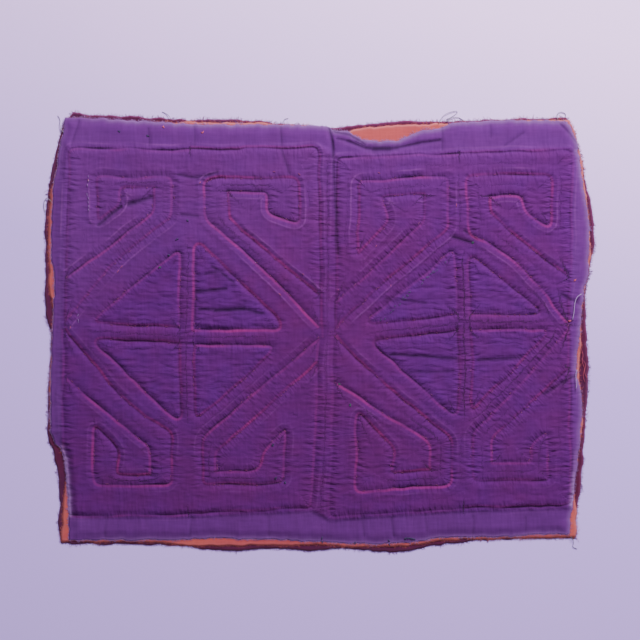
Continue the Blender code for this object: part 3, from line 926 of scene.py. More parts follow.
@dataclass(frozen=True)
class SewnCotton(WovenCotton):
    """Plain-woven cotton with seams sewn through it.

    The eye gets a thin dark line of painted shade in each seam, a broken pink line of thread
    beside it, fine ribs square to the level seams, and painted light that makes the cloth paler in
    the margins.
    """

    # The paler colour that painted light gives the margins, the thread's pink, and the turned edges'
    # pale line.
    painted_light: str = "#5B276D"
    thread: str = "#A0286A"
    turned: str = "#80408A"
    # The greatest shares of the paler colour of painted light, and of the deep colour of painted
    # shade in seams and in ripples.
    painted_light_share: float = 0.7
    seam_shade: float = 0.6
    ripple_shade: float = 0.12
    # Sizes of the patterns, and how wide ribs, ripples and crumples are for their length.
    rib: float = 2.6 * MM
    rib_stretch: float = 0.12
    ripple: float = 4.3 * MM
    ripple_patch: float = 5.0 * MM
    ripple_stretch: float = 0.45
    trough: float = 0.75  # How much of a ripple's wave is its trough.
    ripple_gaps: tuple[float, float] = (0.4, 0.6)  # The noise where ripples begin and are whole.
    crumple: float = 4.5 * MM
    crumple_stretch: float = 0.5
    # Half the puckers' pitch in millimetres, their scale away from the seam, where they run on,
    # and how far their pattern moves on from one seam to the next.
    pucker: float = 2.3
    pucker_stretch: float = 0.14
    pucker_change: float = 5.3
    # The heights of the reliefs in millimetres, with a minus for those that are sunk.
    pucker_height: float = 0.9
    rib_height: float = 0.5
    crumple_height: float = 0.42
    ripple_height: float = -0.2
    seam_height: float = -0.28
    # In millimetres: the half widths of the lines in seams, in folds and on turned edges, and the
    # pink line's place beside its seam and half width.
    seam_line: float = 1.2
    fold_line: float = 1.4
    turned_line: float = 1.1
    thread_place: float = 1.2
    thread_line: float = 1.8
    # How far past its place a line starts to end, and how far past it there is none.
    line_end: tuple[float, float] = (1.0, 1.8)

    def puckers(self, tree: bpy.types.NodeTree) -> bpy.types.NodeSocket:
        """Fine puckers square to the nearest seam: a noise of the way along it, in millimetres.

        Args:
            tree: The material's node tree.

        Returns:
            The puckers' height, as a share.
        """
        where = add_node(tree, "ShaderNodeCombineXYZ", links={
            0: self.attribute(tree, "seam_along"), 1: self.attribute(tree, "seam_side"),
            2: self.attribute(tree, "seam_number")})
        scaled = add_node(tree, "ShaderNodeMapping", {"Scale": (
            1 / self.pucker, self.pucker_stretch, self.pucker_change)}, {"Vector": where.outputs[0]})
        noise = add_node(tree, "ShaderNodeTexNoise", {"Scale": 1.0, "Detail": 1.0},
                         {"Vector": scaled.outputs[0]})
        return add_node(tree, "ShaderNodeMath", links={
            0: noise.outputs["Fac"], 1: self.attribute(tree, "pucker")},
            operation="MULTIPLY").outputs[0]

    def ripples(self, tree: bpy.types.NodeTree) -> bpy.types.NodeSocket:
        """Creases along X: the troughs of a wandering sine of Y, broken up by a noise.

        Args:
            tree: The material's node tree.

        Returns:
            The creases' depth, as a share.
        """
        place = add_node(tree, "ShaderNodeTexCoord").outputs["Object"]
        wave = add_node(tree, "ShaderNodeTexWave", {
            "Scale": bands_per_metre(self.ripple), "Distortion": 5.0, "Detail": 2.0,
            "Detail Scale": 1.2}, {"Vector": place}, bands_direction="Y")
        trough = add_node(tree, "ShaderNodeMapRange", {1: 0.0, 2: self.trough, 3: 1.0, 4: 0.0},
                          {0: wave.outputs["Fac"]}, interpolation_type="SMOOTHSTEP")
        long = add_node(tree, "ShaderNodeMapping", {"Scale": (self.ripple_stretch, 1.0, 1.0)},
                        {"Vector": place})
        patch = add_node(tree, "ShaderNodeTexNoise",
                         {"Scale": 1 / self.ripple_patch, "Detail": 1.0},
                         {"Vector": long.outputs[0]})
        begin, whole = self.ripple_gaps
        kept = add_node(tree, "ShaderNodeMapRange", {1: begin, 2: whole, 3: 0.0, 4: 1.0},
                        {0: patch.outputs["Fac"]})
        share = add_node(tree, "ShaderNodeMath", links={
            0: trough.outputs[0], 1: kept.outputs[0]}, operation="MULTIPLY")
        return add_node(tree, "ShaderNodeMath", links={
            0: share.outputs[0], 1: self.attribute(tree, "ripple")},
            operation="MULTIPLY").outputs[0]

    def line(self, tree: bpy.types.NodeTree, kind: str, centre: float, width: float
             ) -> bpy.types.NodeSocket:
        """A line along the seams or folds: a smooth step down from its centre, held near them.

        Args:
            tree: The material's node tree.
            kind: Which lines: "seam", "fold" or "turn".
            centre: How far beside them it runs, in millimetres.
            width: Its half width, in millimetres.

        Returns:
            A share from 0 to 1.
        """
        shift = add_node(tree, "ShaderNodeMath", {1: centre}, {
            0: self.attribute(tree, kind + "_side")}, operation="SUBTRACT")
        size = add_node(tree, "ShaderNodeMath", links={0: shift.outputs[0]}, operation="ABSOLUTE")
        across = add_node(tree, "ShaderNodeMapRange", {1: 0.0, 2: width, 3: 1.0, 4: 0.0},
                          {0: size.outputs[0]}, interpolation_type="SMOOTHSTEP")
        first, last = (abs(centre) + past for past in self.line_end)
        near = add_node(tree, "ShaderNodeMapRange", {1: first, 2: last, 3: 1.0, 4: 0.0},
                        {0: self.attribute(tree, kind + "_away")},
                        interpolation_type="SMOOTHSTEP")
        return add_node(tree, "ShaderNodeMath", links={
            0: across.outputs[0], 1: near.outputs[0]}, operation="MULTIPLY").outputs[0]

    def drawn(self, tree: bpy.types.NodeTree) -> bpy.types.NodeSocket:
        """How deep the seams and folds are drawn in, whichever is the deeper: the share of painted
        shade on their dark lines, and of their sunk relief.

        Args:
            tree: The material's node tree.

        Returns:
            The depth, as a share.
        """
        deep = [add_node(tree, "ShaderNodeMath", links={
            0: self.line(tree, kind, 0.0, width), 1: self.attribute(tree, kind)},
            operation="MULTIPLY") for kind, width in (("seam", self.seam_line),
                                                      ("fold", self.fold_line))]
        return add_node(tree, "ShaderNodeMath", links={
            0: deep[0].outputs[0], 1: deep[1].outputs[0]}, operation="MAXIMUM").outputs[0]

    def tone(self, tree: bpy.types.NodeTree) -> bpy.types.NodeSocket:
        """The dye's colour with painted light paling the margins, painted shade in the seams' dark
        lines and in the ripples' troughs, and the pink and pale lines.

        Args:
            tree: The material's node tree.

        Returns:
            The colour.
        """
        base = super().tone(tree)
        # Painted light pales the margins; painted shade darkens the seams' and folds' lines and the
        # ripples' troughs.
        for other, most, share in ((self.painted_light, self.painted_light_share, self.attribute(tree, "painted_light")),
                                   (self.deep, self.seam_shade, self.drawn(tree)),
                                   (self.deep, self.ripple_shade, self.ripples(tree))):
            part = add_node(tree, "ShaderNodeMath", {1: most}, {0: share}, operation="MULTIPLY")
            base = self.blend(tree, base, other, part.outputs[0])
        for other, line, kind in (
            (self.thread, self.line(tree, "seam", self.thread_place, self.thread_line), "thread"),
            (self.turned, self.line(tree, "turn", 0.0, self.turned_line), "turn"),
        ):
            part = add_node(tree, "ShaderNodeMath", links={
                0: line, 1: self.attribute(tree, kind)}, operation="MULTIPLY")
            base = self.blend(tree, base, other, part.outputs[0])
        return base

    def extra_relief(self, tree: bpy.types.NodeTree, place: bpy.types.NodeSocket,
                     relief: bpy.types.NodeSocket) -> bpy.types.NodeSocket:
        """The yarns' relief with what sewing adds to it.

        Ribs, crumples, puckers, ripples and the sunk seams are each a share times a height, and
        all of them are added to the yarns' relief.

        Args:
            tree: The material's node tree.
            place: The place on the cloth.
            relief: The yarns' relief, in millimetres.

        Returns:
            The whole relief, in millimetres.
        """
        fine = add_node(tree, "ShaderNodeMapping", {"Scale": (1.0, self.rib_stretch, 1.0)},
                        {"Vector": place})
        rib = add_node(tree, "ShaderNodeTexNoise", {"Scale": 1 / self.rib, "Detail": 1.0},
                       {"Vector": fine.outputs[0]})
        low = add_node(tree, "ShaderNodeMapping", {"Scale": (self.crumple_stretch, 1.0, 1.0)},
                       {"Vector": place})
        crumple = add_node(tree, "ShaderNodeTexNoise", {
            "Scale": 1 / self.crumple, "Detail": 3.0, "Roughness": 0.55},
            {"Vector": low.outputs[0]}, noise_type="RIDGED_MULTIFRACTAL")
        ribbed, crumpled = (add_node(tree, "ShaderNodeMath", links={
            0: noise.outputs["Fac"], 1: self.attribute(tree, share)},
            operation="MULTIPLY").outputs[0] for noise, share in ((rib, "ribs"), (crumple, "sewn")))
        for share, height in ((ribbed, self.rib_height), (crumpled, self.crumple_height),
                              (self.puckers(tree), self.pucker_height),
                              (self.ripples(tree), self.ripple_height),
                              (self.drawn(tree), self.seam_height)):
            relief = add_node(tree, "ShaderNodeMath", {1: height}, {0: share, 2: relief},
                              operation="MULTIPLY_ADD").outputs[0]
        return relief


@dataclass(frozen=True)
class TwistedThread:
    """Cotton sewing thread: two fine plies twisted together, soft and a little glossy."""

    name: str
    thread: str
    shade: str
    twist: float = 0.8 * MM
    relief: float = 0.1 * MM
    roughness: float = 0.7
    sheen: float = 0.1

    def build(self) -> bpy.types.Material:
        """Make the material: diagonal bands of two shades, with a bump along them.

        Returns:
            The material.
        """
        material, tree, shader = new_finish(self.name, self.roughness)
        place = add_node(tree, "ShaderNodeTexCoord").outputs["Object"]
        plies = add_node(tree, "ShaderNodeTexWave", {
            "Scale": bands_per_metre(self.twist), "Distortion": 2.0}, {"Vector": place},
            bands_direction="DIAGONAL")
        colour = add_node(tree, "ShaderNodeMix", {6: linear(self.thread), 7: linear(self.shade)},
                          {0: plies.outputs["Fac"]}, data_type="RGBA")
        bump = add_node(tree, "ShaderNodeBump", {"Strength": 0.3, "Distance": self.relief},
                        {"Height": plies.outputs["Fac"]})
        tree.links.new(colour.outputs[2], shader.inputs["Base Color"])
        tree.links.new(bump.outputs[0], shader.inputs["Normal"])
        shader.inputs["Sheen Weight"].default_value = self.sheen
        return material


# The purple's third colour is painted shade, for its creases, seams and ripples.
PURPLE_COTTON = SewnCotton("purple_piece_dyed_cotton", "#4C1461", "#551552", "#1B0726",
                           "#9A70AA")
ORANGE_COTTON = WovenCotton("orange_piece_dyed_cotton", "#B0504A", "#A04048", "#7A3038",
                            "#A85E60")
BURGUNDY_COTTON = WovenCotton("burgundy_piece_dyed_cotton", "#42173A", "#501534", "#22081C",
                              "#6A3254")
PINK_THREAD = TwistedThread("pink_red_sewing_thread", "#84285E", "#6E2056")
ORANGE_THREAD = TwistedThread("orange_red_sewing_thread", "#B84858", "#943450")
GREEN_THREAD = TwistedThread("dark_green_sewing_thread", "#2C5848", "#1C3838")
BLUE_THREAD = TwistedThread("dark_blue_sewing_thread", "#24184C", "#160E30")
PALE_THREAD = TwistedThread("pale_lilac_sewing_thread", "#9C78A6", "#80609A")
GREY_THREAD = TwistedThread("grey_cotton_thread", "#8C8A96", "#6C6874")


@dataclass(frozen=True)
class Face:
    """The backing's face at some places: its height, and what its cotton is told of them.

    `edge` is the distance to the cut edge, and `seam`, `fold` and `turn` are the lies to the seams,
    the creases and the turned edges.  `crease` is the depth of crease here, `drop` and `wide` are
    the nearest crease's depth and width, and `high` is the nearest turned edge's height.  The rest
    are shares: the unevenness of the sewing, ripples, an inner triangle's field, the margin, and
    how calm and how drawn in the cloth is.
    """

    height: np.ndarray
    edge: np.ndarray
    seam: Lie
    fold: Lie
    turn: Lie
    crease: np.ndarray
    drop: np.ndarray
    wide: np.ndarray
    high: np.ndarray
    uneven: np.ndarray
    ripple: np.ndarray
    field: np.ndarray
    margin: np.ndarray
    calm: np.ndarray
    pull: np.ndarray


@dataclass
class Backing:
    """The purple backing cloth, its face sunk along the seams and puckered between them."""

    design: Design
    columns: int = 346
    rows: int = 274
    # Heights: the underside, the cloth itself, the least of it that is left, the rise inside its
    # rim, and the puff between seams, with the shares that a seam's dish and the margin take.
    underside: float = 0.76 * MM
    cloth: float = 0.15 * MM
    least: float = 0.12 * MM
    rise: float = 0.8 * MM
    puff: float = 1.6 * MM
    dished: float = 0.48
    flattened: float = 0.72
    # Widths: the slope inside the rim, the rim that no groove cuts, a seam's dish, and the slopes
    # into the margin and into the fields.
    rim_width: float = 8.0 * MM
    whole_rim: float = 1.8 * MM
    dish_width: float = 3.2 * MM
    margin_slope: float = 4.0 * MM
    field_slope: float = 2.0 * MM
    # How near to a seam, a crease or a turned edge a place lies to it.
    seam_reach: float = 14.0 * MM
    crease_reach: float = 6.0 * MM
    turned_reach: float = 4.0 * MM
    # Ripples across the upright seams: their pitch and height, the share that every seam has,
    # how far beside the seam they are highest, and how far from there they reach.
    ripple_pitch: float = 4.6 * MM
    ripple_height: float = 0.6 * MM
    ripple_least: float = 0.16
    ripple_place: float = 3.0 * MM
    ripple_reach: float = 6.5 * MM
    wrinkle_height: float = 0.65 * MM
    # The calm cloth where the units meet: its middle along X, its reach, and what it takes away.
    calm_middle: float = 6.0 * MM
    calm_reach: float = 45.0 * MM
    calm_share: float = 0.6
    # The seams pull harder from left to right: the least pull, and what is added along X.
    least_pull: float = 0.75
    added_pull: Slope = Slope(-200, 400, 0.65)
    # Noises of the shape.
    wander_broad: Noise = Noise(13, 9, 11, 2.6 * MM)
    wander_small: Noise = Noise(5, 4, 12, 1.1 * MM)
    broken: Noise = Noise(8, 5, 13, 1.5)
    wrinkle_broad: Noise = Noise(15, 4.4, 15, 0.8)
    wrinkle_small: Noise = Noise(7, 2.6, 16, 0.45)
    fine: Noise = Noise(1.9, 9, 17, 0.12 * MM)
    swell: Noise = Noise(8, 22, 18, 0.24 * MM)
    unevenness: Noise = Noise(17, 17, 21, 0.6)
    # Noises of the colour.
    patches: Noise = Noise(30, 30, 31, 0.5)
    wear: Noise = Noise(11, 11, 33, 0.5)
    specks: Noise = Noise(9, 7, 34, 0.16)
    # The raw edge's pale band, the depths at which a crease and its line are wholly dark with
    # painted shade, and how far puckers reach from a seam.
    raw_width: float = 2.3 * MM
    raw_share: float = 0.85
    crease_depth: float = 1.2 * MM
    fold_depth: float = 1.5 * MM
    pucker_reach: float = 6.0 * MM
    # The reach along X and Y of the warmer middle, and where painted light makes the margins less
    # pale along the top and paler at the left, and where the cloth is paler towards the top left
    # corner.
    warm_reach: Place = (90.0 * MM, 150.0 * MM)
    top_light: Slope = Slope(90, 50, -0.16)
    corner_pale: Slope = Slope(30, 110, 0.6)
    left_light: Slope = Slope(150, 40, 0.5)
    # The most of the thread's colour that shows, the frames' part of that, and the least and
    # greatest random shares of thread and of painted shade that a seam gets.
    thread_share: float = 0.45
    frame_thread: float = 0.4
    thread_range: tuple[float, float] = (0.15, 1.0)
    shade_range: tuple[float, float] = (0.35, 1.0)
    seed: int = 32

    def __post_init__(self) -> None:
        """Read the cut outline and lay out the seams."""
        self.cut = ClothCut("backing_layer")
        self.edge = self.cut.outline()
        seams = self.design.seams()
        self.sewn = [seam for seam in seams if seam.kind is not SeamKind.TURNED_EDGE]
        self.turned = [seam for seam in seams if seam.kind is SeamKind.TURNED_EDGE]
        self.fields = [seam.points for seam in seams if seam.kind is SeamKind.TRIANGLE]

    def ripples(self, x: np.ndarray, y: np.ndarray) -> np.ndarray:
        """Ripples across upright seams: the size of a sine of Y whose phase wanders.

        The size of the sine has a sharp crease at each zero and a round crest between.

        Args:
            x: Places along X.
            y: Places along Y.

        Returns:
            Heights from about -0.5 to 0.5 of a ripple.
        """
        wander = self.wander_broad.at(x, y) + self.wander_small.at(x, y)
        crest = np.abs(np.sin(math.pi * (y + 0.05 * x + wander) / self.ripple_pitch)) ** 0.8
        keep = 0.35 + 0.65 * smoothstep(0.9 + self.broken.at(x, y))
        return (crest - 0.6) * keep

    def wrinkles(self, x: np.ndarray, y: np.ndarray) -> np.ndarray:
        """Longer wrinkles in the fields: the size of two noises stretched along X."""
        slanted = self.wrinkle_broad.at(x, y + 0.08 * x)
        return np.abs(slanted + self.wrinkle_small.at(x, y)) ** 0.75 - 0.45

    def frame_gap(self, places: np.ndarray) -> np.ndarray:
        """How far places lie outside the loop round both units' frames.

        Args:
            places: One row of X and Y for each place.

        Returns:
            The distances, 0 inside the loop.
        """
        left, right = (np.array(net) * MM for net in self.design.nets)
        loop = np.vstack([left[0], right[0], right[1:, 2], right[2, 1::-1], left[2, ::-1],
                          left[1::-1, 0]])
        return np.where(inside(places, loop), 0.0, distance_to(places, loop))

    def field_share(self, places: np.ndarray) -> np.ndarray:
        """1 for the places inside an inner triangle and 0 for the others."""
        return np.any([inside(places, loop) for loop in self.fields], axis=0).astype(float)

    def surface(self, places: np.ndarray) -> Face:
        """The height of the backing's face, and how each place lies to seams and edges.

        The face rises from its rim and puffs between the seams.  Along each seam it dips in a
        broad dish with a narrow bell-shaped groove, and each turned edge beside a seam shows as a
        low bell-shaped ridge.  Ripples run square to the upright seams and fade away from them.
        A groove is deepest where its seam is level, and a ridge highest where it is upright.

        Args:
            places: One row of X and Y for each place.

        Returns:
            The face.
        """
        x, y = places.T
        edge = distance_to(places, self.edge)
        seam = lie_to(places, [line.points for line in self.sewn], self.seam_reach)
        turn = lie_to(places, [line.points for line in self.turned], self.turned_reach)
        fold = lie_to(places, self.design.crease_lines(), self.crease_reach)
        uneven = 0.75 + self.unevenness.at(x, y)
        margin = smoothstep(self.frame_gap(places) / self.margin_slope)
        field = self.field_share(places) * smoothstep(seam.away / self.field_slope)
        calm = 1 - self.calm_share * bell(np.hypot(x - self.calm_middle, y), self.calm_reach)
        pull = self.least_pull + self.added_pull.at(x)

        depth = seam.pick([line.depth for line in self.sewn])
        width = seam.pick([line.width for line in self.sewn], 1.0)
        groove = depth * uneven * (1.3 - 0.5 * seam.upright) * bell(seam.away, width)
        drop = fold.pick([line.depth for line in self.design.creases]) * MM
        wide = fold.pick([line.width for line in self.design.creases], 1.0) * MM
        crease = drop * bell(fold.away, wide)
        high = turn.pick([line.depth for line in self.turned])
        ridge = high * (0.6 + 0.4 * uneven) * bell(
            turn.away, SEAM_SIZES[SeamKind.TURNED_EDGE][1] * MM)
        ridge = ridge * (0.2 + 0.8 * smoothstep(turn.upright / 0.5))

        ripple = self.ripple_least + (1 - self.ripple_least) * seam.upright ** 3 * bell(
            seam.away - self.ripple_place, self.ripple_reach)
        ripple = ripple * (1 - 0.5 * margin) * calm
        relief = (self.ripple_height * ripple * self.ripples(x, y)
                  + self.wrinkle_height * field * self.wrinkles(x, y)
                  + self.fine.at(x, y) * (1 - ripple) + ridge + margin * self.swell.at(x, y))
        dish = 1 - self.dished * bell(seam.away, self.dish_width)
        puff = self.puff * dish * (1 - self.flattened * margin)
        height = (self.underside + self.cloth
                  + smoothstep(edge / self.rim_width) * (self.rise + puff + relief)
                  - smoothstep(edge / self.whole_rim) * np.maximum(groove, crease))
        return Face(np.maximum(height, self.underside + self.least), edge, seam, fold, turn,
                    crease, drop, wide, high, uneven, ripple, field, margin, calm, pull)

    def colouring(self, places: np.ndarray, face: Face) -> dict[str, np.ndarray]:
        """What the cotton reads of its colour: shares from 0 to 1, and for folds up to 1.5.

        The cloth is warmer in patches of the hooks' bands and round the middle.  Painted light makes
        it paler in the margin, less so along the top and more at the left, and it is paler towards
        the top left corner.  Painted shade darkens the seams, the folds and the creases, and each
        seam has its own random share of painted shade and of thread.

        Args:
            places: One row of X and Y for each place.
            face: The face at these places.

        Returns:
            The shares by name.
        """
        x, y = places.T
        inner, bare = 1 - face.margin, 1 - face.field
        patch = 0.5 + self.patches.at(x, y)
        centre = bell(x, self.warm_reach[0]) * bell(y, self.warm_reach[1])
        warmth = (0.12 + inner * (1 - 0.75 * face.field) * (0.1 + 0.3 * patch)
                  + 0.2 * centre * bare + self.specks.at(x, y))
        # Painted light in the margin, less of it along the top; and a paler cloth towards the top
        # left corner.
        outer = face.margin * (1 + self.top_light.at(y))
        corner = inner * (1 - 0.9 * face.field) * self.corner_pale.at(y - x / 3)
        # Each seam's own random share of thread, and of the painted shade on its dark line.
        random = np.random.default_rng(self.seed)
        kept = [self.frame_thread if seam.kind is SeamKind.FRAME else 1.0 for seam in self.sewn]
        thread = face.seam.pick(random.uniform(*self.thread_range, len(self.sewn)) * kept)
        shade = face.seam.pick(random.uniform(*self.shade_range, len(self.sewn)))
        worn = 0.5 + self.wear.at(x, y)
        return {
            "warmth": np.clip(warmth, 0.0, 1.0),
            # Painted shade in the creases.
            "depth": np.clip(face.crease / self.crease_depth, 0.0, 0.7),
            "raw_edge": self.raw_share * bell(face.edge, self.raw_width),
            # Painted light, with more of it at the left.
            "painted_light": (outer + corner) * (1 + self.left_light.at(-x)),
            # Painted shade on the seams' and folds' dark lines, darker where a seam runs level.
            "seam": np.clip(shade * face.uneven * (1.4 - 0.85 * face.seam.upright), 0.0, 1.2),
            "fold": np.clip(face.drop / self.fold_depth * (0.4 + 0.6 * face.uneven), 0.0, 1.5),
            "turn": face.high / MM * np.clip(face.uneven * 1.6 - 0.7, 0.0, 1.0),
            "thread": self.thread_share * thread * worn,
        }

    def puckering(self, face: Face) -> dict[str, np.ndarray]:
        """What the cotton reads of its relief: shares, and the lies to the lines in millimetres.

        A fold's lie is told as a share of its own width, times the half width that the cotton
        gives a fold's line, so that each fold shows as wide as it is.

        Args:
            face: The face.

        Returns:
            The numbers by name.
        """
        inner, bare = 1 - 0.5 * face.margin, 1 - face.field
        level = 1 - face.seam.upright ** 2
        fold = face.wide / SewnCotton.fold_line
        return {
            "seam_side": face.seam.side / MM, "seam_away": face.seam.away / MM,
            "fold_side": face.fold.side / fold, "fold_away": face.fold.away / fold,
            "turn_side": face.turn.side / MM, "turn_away": face.turn.away / MM,
            "seam_along": face.seam.along / MM, "seam_number": face.seam.line,
            "ribs": (0.75 * level * bare * face.calm + 0.45 * face.field) * face.pull * inner,
            "ripple": np.maximum(face.ripple, 0.75 * face.field),
            "sewn": 1 - 0.75 * face.margin,
            "pucker": (bell(face.seam.away, self.pucker_reach) * (1 - 0.6 * face.margin)
                       * face.calm * face.pull),
        }

    def build(self) -> bpy.types.Object:
        """Make the backing's mesh, with the numbers that its cotton reads at each vertex.

        Returns:
            The backing.
        """
        flat = self.cut.grid(self.columns, self.rows)
        rows, columns, _ = flat.shape
        places = flat.reshape(-1, 2)
        face = self.surface(places)
        top = np.column_stack([places, face.height]).reshape(rows, columns, 3)
        item = sheet_mesh("backing_cloth", top, self.underside)
        numbers = self.colouring(places, face) | self.puckering(face)
        ring = len(item.data.vertices) - len(places)
        numbers["raw_edge"] = np.append(numbers["raw_edge"], np.full(ring, self.raw_share))
        for name, values in numbers.items():
            set_attribute(item, name, values)
        item.data.materials.append(PURPLE_COTTON.build())
        return item


@dataclass
class LowerCloth:
    """A cloth under the backing, thin and plain, its bare rim a little wavy."""

    node: str
    name: str
    finish: WovenCotton
    underside: float
    thickness: float
    ripple: float
    worn: float
    seed: int
    columns: int = 238
    rows: int = 188
    # How wide the bare rim is, and how far past the backing's edge it counts as wholly bare.
    rim_width: float = 6.0 * MM
    bare_slope: float = 5.0 * MM
    wave_pitch: float = 7.0
    patch_pitch: float = 24.0
    raw_share: float = 0.85

    def build(self, cover: np.ndarray) -> bpy.types.Object:
        """Make the cloth: a flat grid whose rim rises by a smooth noise where it is bare.

        Args:
            cover: The closed outline of the backing that covers it.

        Returns:
            The cloth's object.
        """
        cut = ClothCut(self.node)
        flat = cut.grid(self.columns, self.rows)
        rows, columns, _ = flat.shape
        places = flat.reshape(-1, 2)
        edge = distance_to(places, cut.outline())
        near = distance_to(places, cover)
        x, y = places.T
        bare = smoothstep(1 - edge / self.rim_width) * smoothstep(near / self.bare_slope)
        wave = 0.5 + Noise(self.wave_pitch, self.wave_pitch, self.seed + 1, 0.5).at(x, y)
        under = self.underside + self.ripple * bare * wave
        top = np.column_stack([places, under + self.thickness]).reshape(rows, columns, 3)
        item = sheet_mesh(self.name, top, under.reshape(rows, columns))
        patch = 0.5 + Noise(self.patch_pitch, self.patch_pitch, self.seed + 2, 0.5).at(x, y)
        set_attribute(item, "warmth", np.tile(patch, 2))
        set_attribute(item, "raw_edge", np.tile(self.raw_share * bell(edge, self.worn), 2))
        item.data.materials.append(self.finish.build())
        return item


@dataclass
class Stitching:
    """The hand stitches that show on the backing: short dashes of thread along the seams."""

    backing: Backing
    pitch: float = 2.9 * MM
    length: float = 2.5 * MM
    radius: float = 0.14 * MM
    # Along each dash: how high its points stand over the cloth, and how thick they are for it.
    stand: float = 0.3 * MM
    arch: tuple[float, ...] = (-0.6, 1.0, 1.0, -0.6)
    taper: tuple[float, ...] = (0.7, 1.0, 1.0, 0.7)
    sides: int = 5
    # How far a hand strays along a seam and aside from it, and how much it slants.
    stray_along: float = 0.4 * MM
    stray_aside: float = 0.3 * MM
    slant: float = 0.25
    # A knot: its dashes, how far they lie apart, their thickness, and their least and greatest
    # length.
    knot_dashes: int = 4
    knot_spread: float = 0.35 * MM
    knot_radius: float = 0.21 * MM
    knot_lengths: tuple[float, float] = (1.4 * MM, 2.6 * MM)

    def dashes(self, centres: np.ndarray, ways: np.ndarray, lengths: np.ndarray,
               radius: float) -> tuple[np.ndarray, list[np.ndarray]]:
        """Dashes that follow the cloth: each arches over it and goes into it at both ends.

        Args:
            centres: Their middles, one row of X and Y each.
            ways: Their directions, one unit row each.
            lengths: Their lengths.
            radius: The thread's radius.

        Returns:
            The vertices and the faces.
        """
        t = np.linspace(-0.5, 0.5, len(self.arch))
        flat = centres[:, None] + ways[:, None] * (lengths[:, None] * t)[:, :, None]
        height = self.backing.surface(flat.reshape(-1, 2)).height.reshape(len(centres), -1)
        lift = self.stand * np.array(self.arch)
        paths = np.concatenate([flat, (height + lift)[:, :, None]], axis=2)
        radii = np.broadcast_to(radius * np.array(self.taper), height.shape)
        return tubes(paths, radii, self.sides)

    def along(self, lines: list[np.ndarray], seed: int, share: float = 1.0
              ) -> tuple[np.ndarray, np.ndarray, np.ndarray]:
        """Place dashes along lines, at a hand's uneven pitch, slant and length.

        Args:
            lines: The lines' points.
            seed: The seed of the unevenness.
            share: The share of the dashes that show.

        Returns:
            The dashes' middles, directions and lengths.
        """
        random = np.random.default_rng(seed)
        centres, ways = [], []
        for line in lines:
            points = resample(line, max(2, int(line_length(line) / self.pitch)))
            centres.append((points[1:] + points[:-1]) / 2)
            ways.append(np.diff(points, axis=0))
        centre, way = np.vstack(centres), unit(np.vstack(ways))
        side = np.column_stack([-way[:, 1], way[:, 0]])
        count = len(centre)
        centre = centre + way * random.normal(0, self.stray_along, (count, 1))
        centre = centre + side * random.normal(0, self.stray_aside, (count, 1))
        way = unit(way + side * random.normal(0, self.slant, (count, 1)))
        lengths = self.length * random.uniform(0.65, 1.35, count)
        shown = random.uniform(0, 1, count) < share
        return centre[shown], way[shown], lengths[shown]

    def build(self, name: str, lines: list[np.ndarray], finish: TwistedThread, seed: int,
              share: float = 1.0) -> bpy.types.Object:
        """Sew dashes of one thread along lines.

        Args:
            name: The object's name.
            lines: The lines' points.
            finish: The thread.
            seed: The seed of the hand's unevenness.
            share: The share of the dashes that show.

        Returns:
            The stitches as one object.
        """
        centre, way, lengths = self.along(lines, seed, share)
        item = put_mesh(name, *self.dashes(centre, way, lengths, self.radius))
        item.data.materials.append(finish.build())
        return item

    def knots(self, name: str, places: tuple[Place, ...], finish: TwistedThread,
              seed: int) -> bpy.types.Object:
        """Small knots: a few short fat dashes that cross at each place.

        Args:
            name: The object's name.
            places: Their places in millimetres.
            finish: The thread.
            seed: The seed of their directions.

        Returns:
            The knots as one object.
        """
        random = np.random.default_rng(seed)
        centre = np.repeat(np.array(places) * MM, self.knot_dashes, axis=0)
        centre = centre + random.normal(0, self.knot_spread, centre.shape)
        turn = random.uniform(0, math.pi, len(centre))
        way = np.column_stack([np.cos(turn), np.sin(turn)])
        lengths = random.uniform(*self.knot_lengths, len(centre))
        item = put_mesh(name, *self.dashes(centre, way, lengths, self.knot_radius))
        item.data.materials.append(finish.build())
        return item


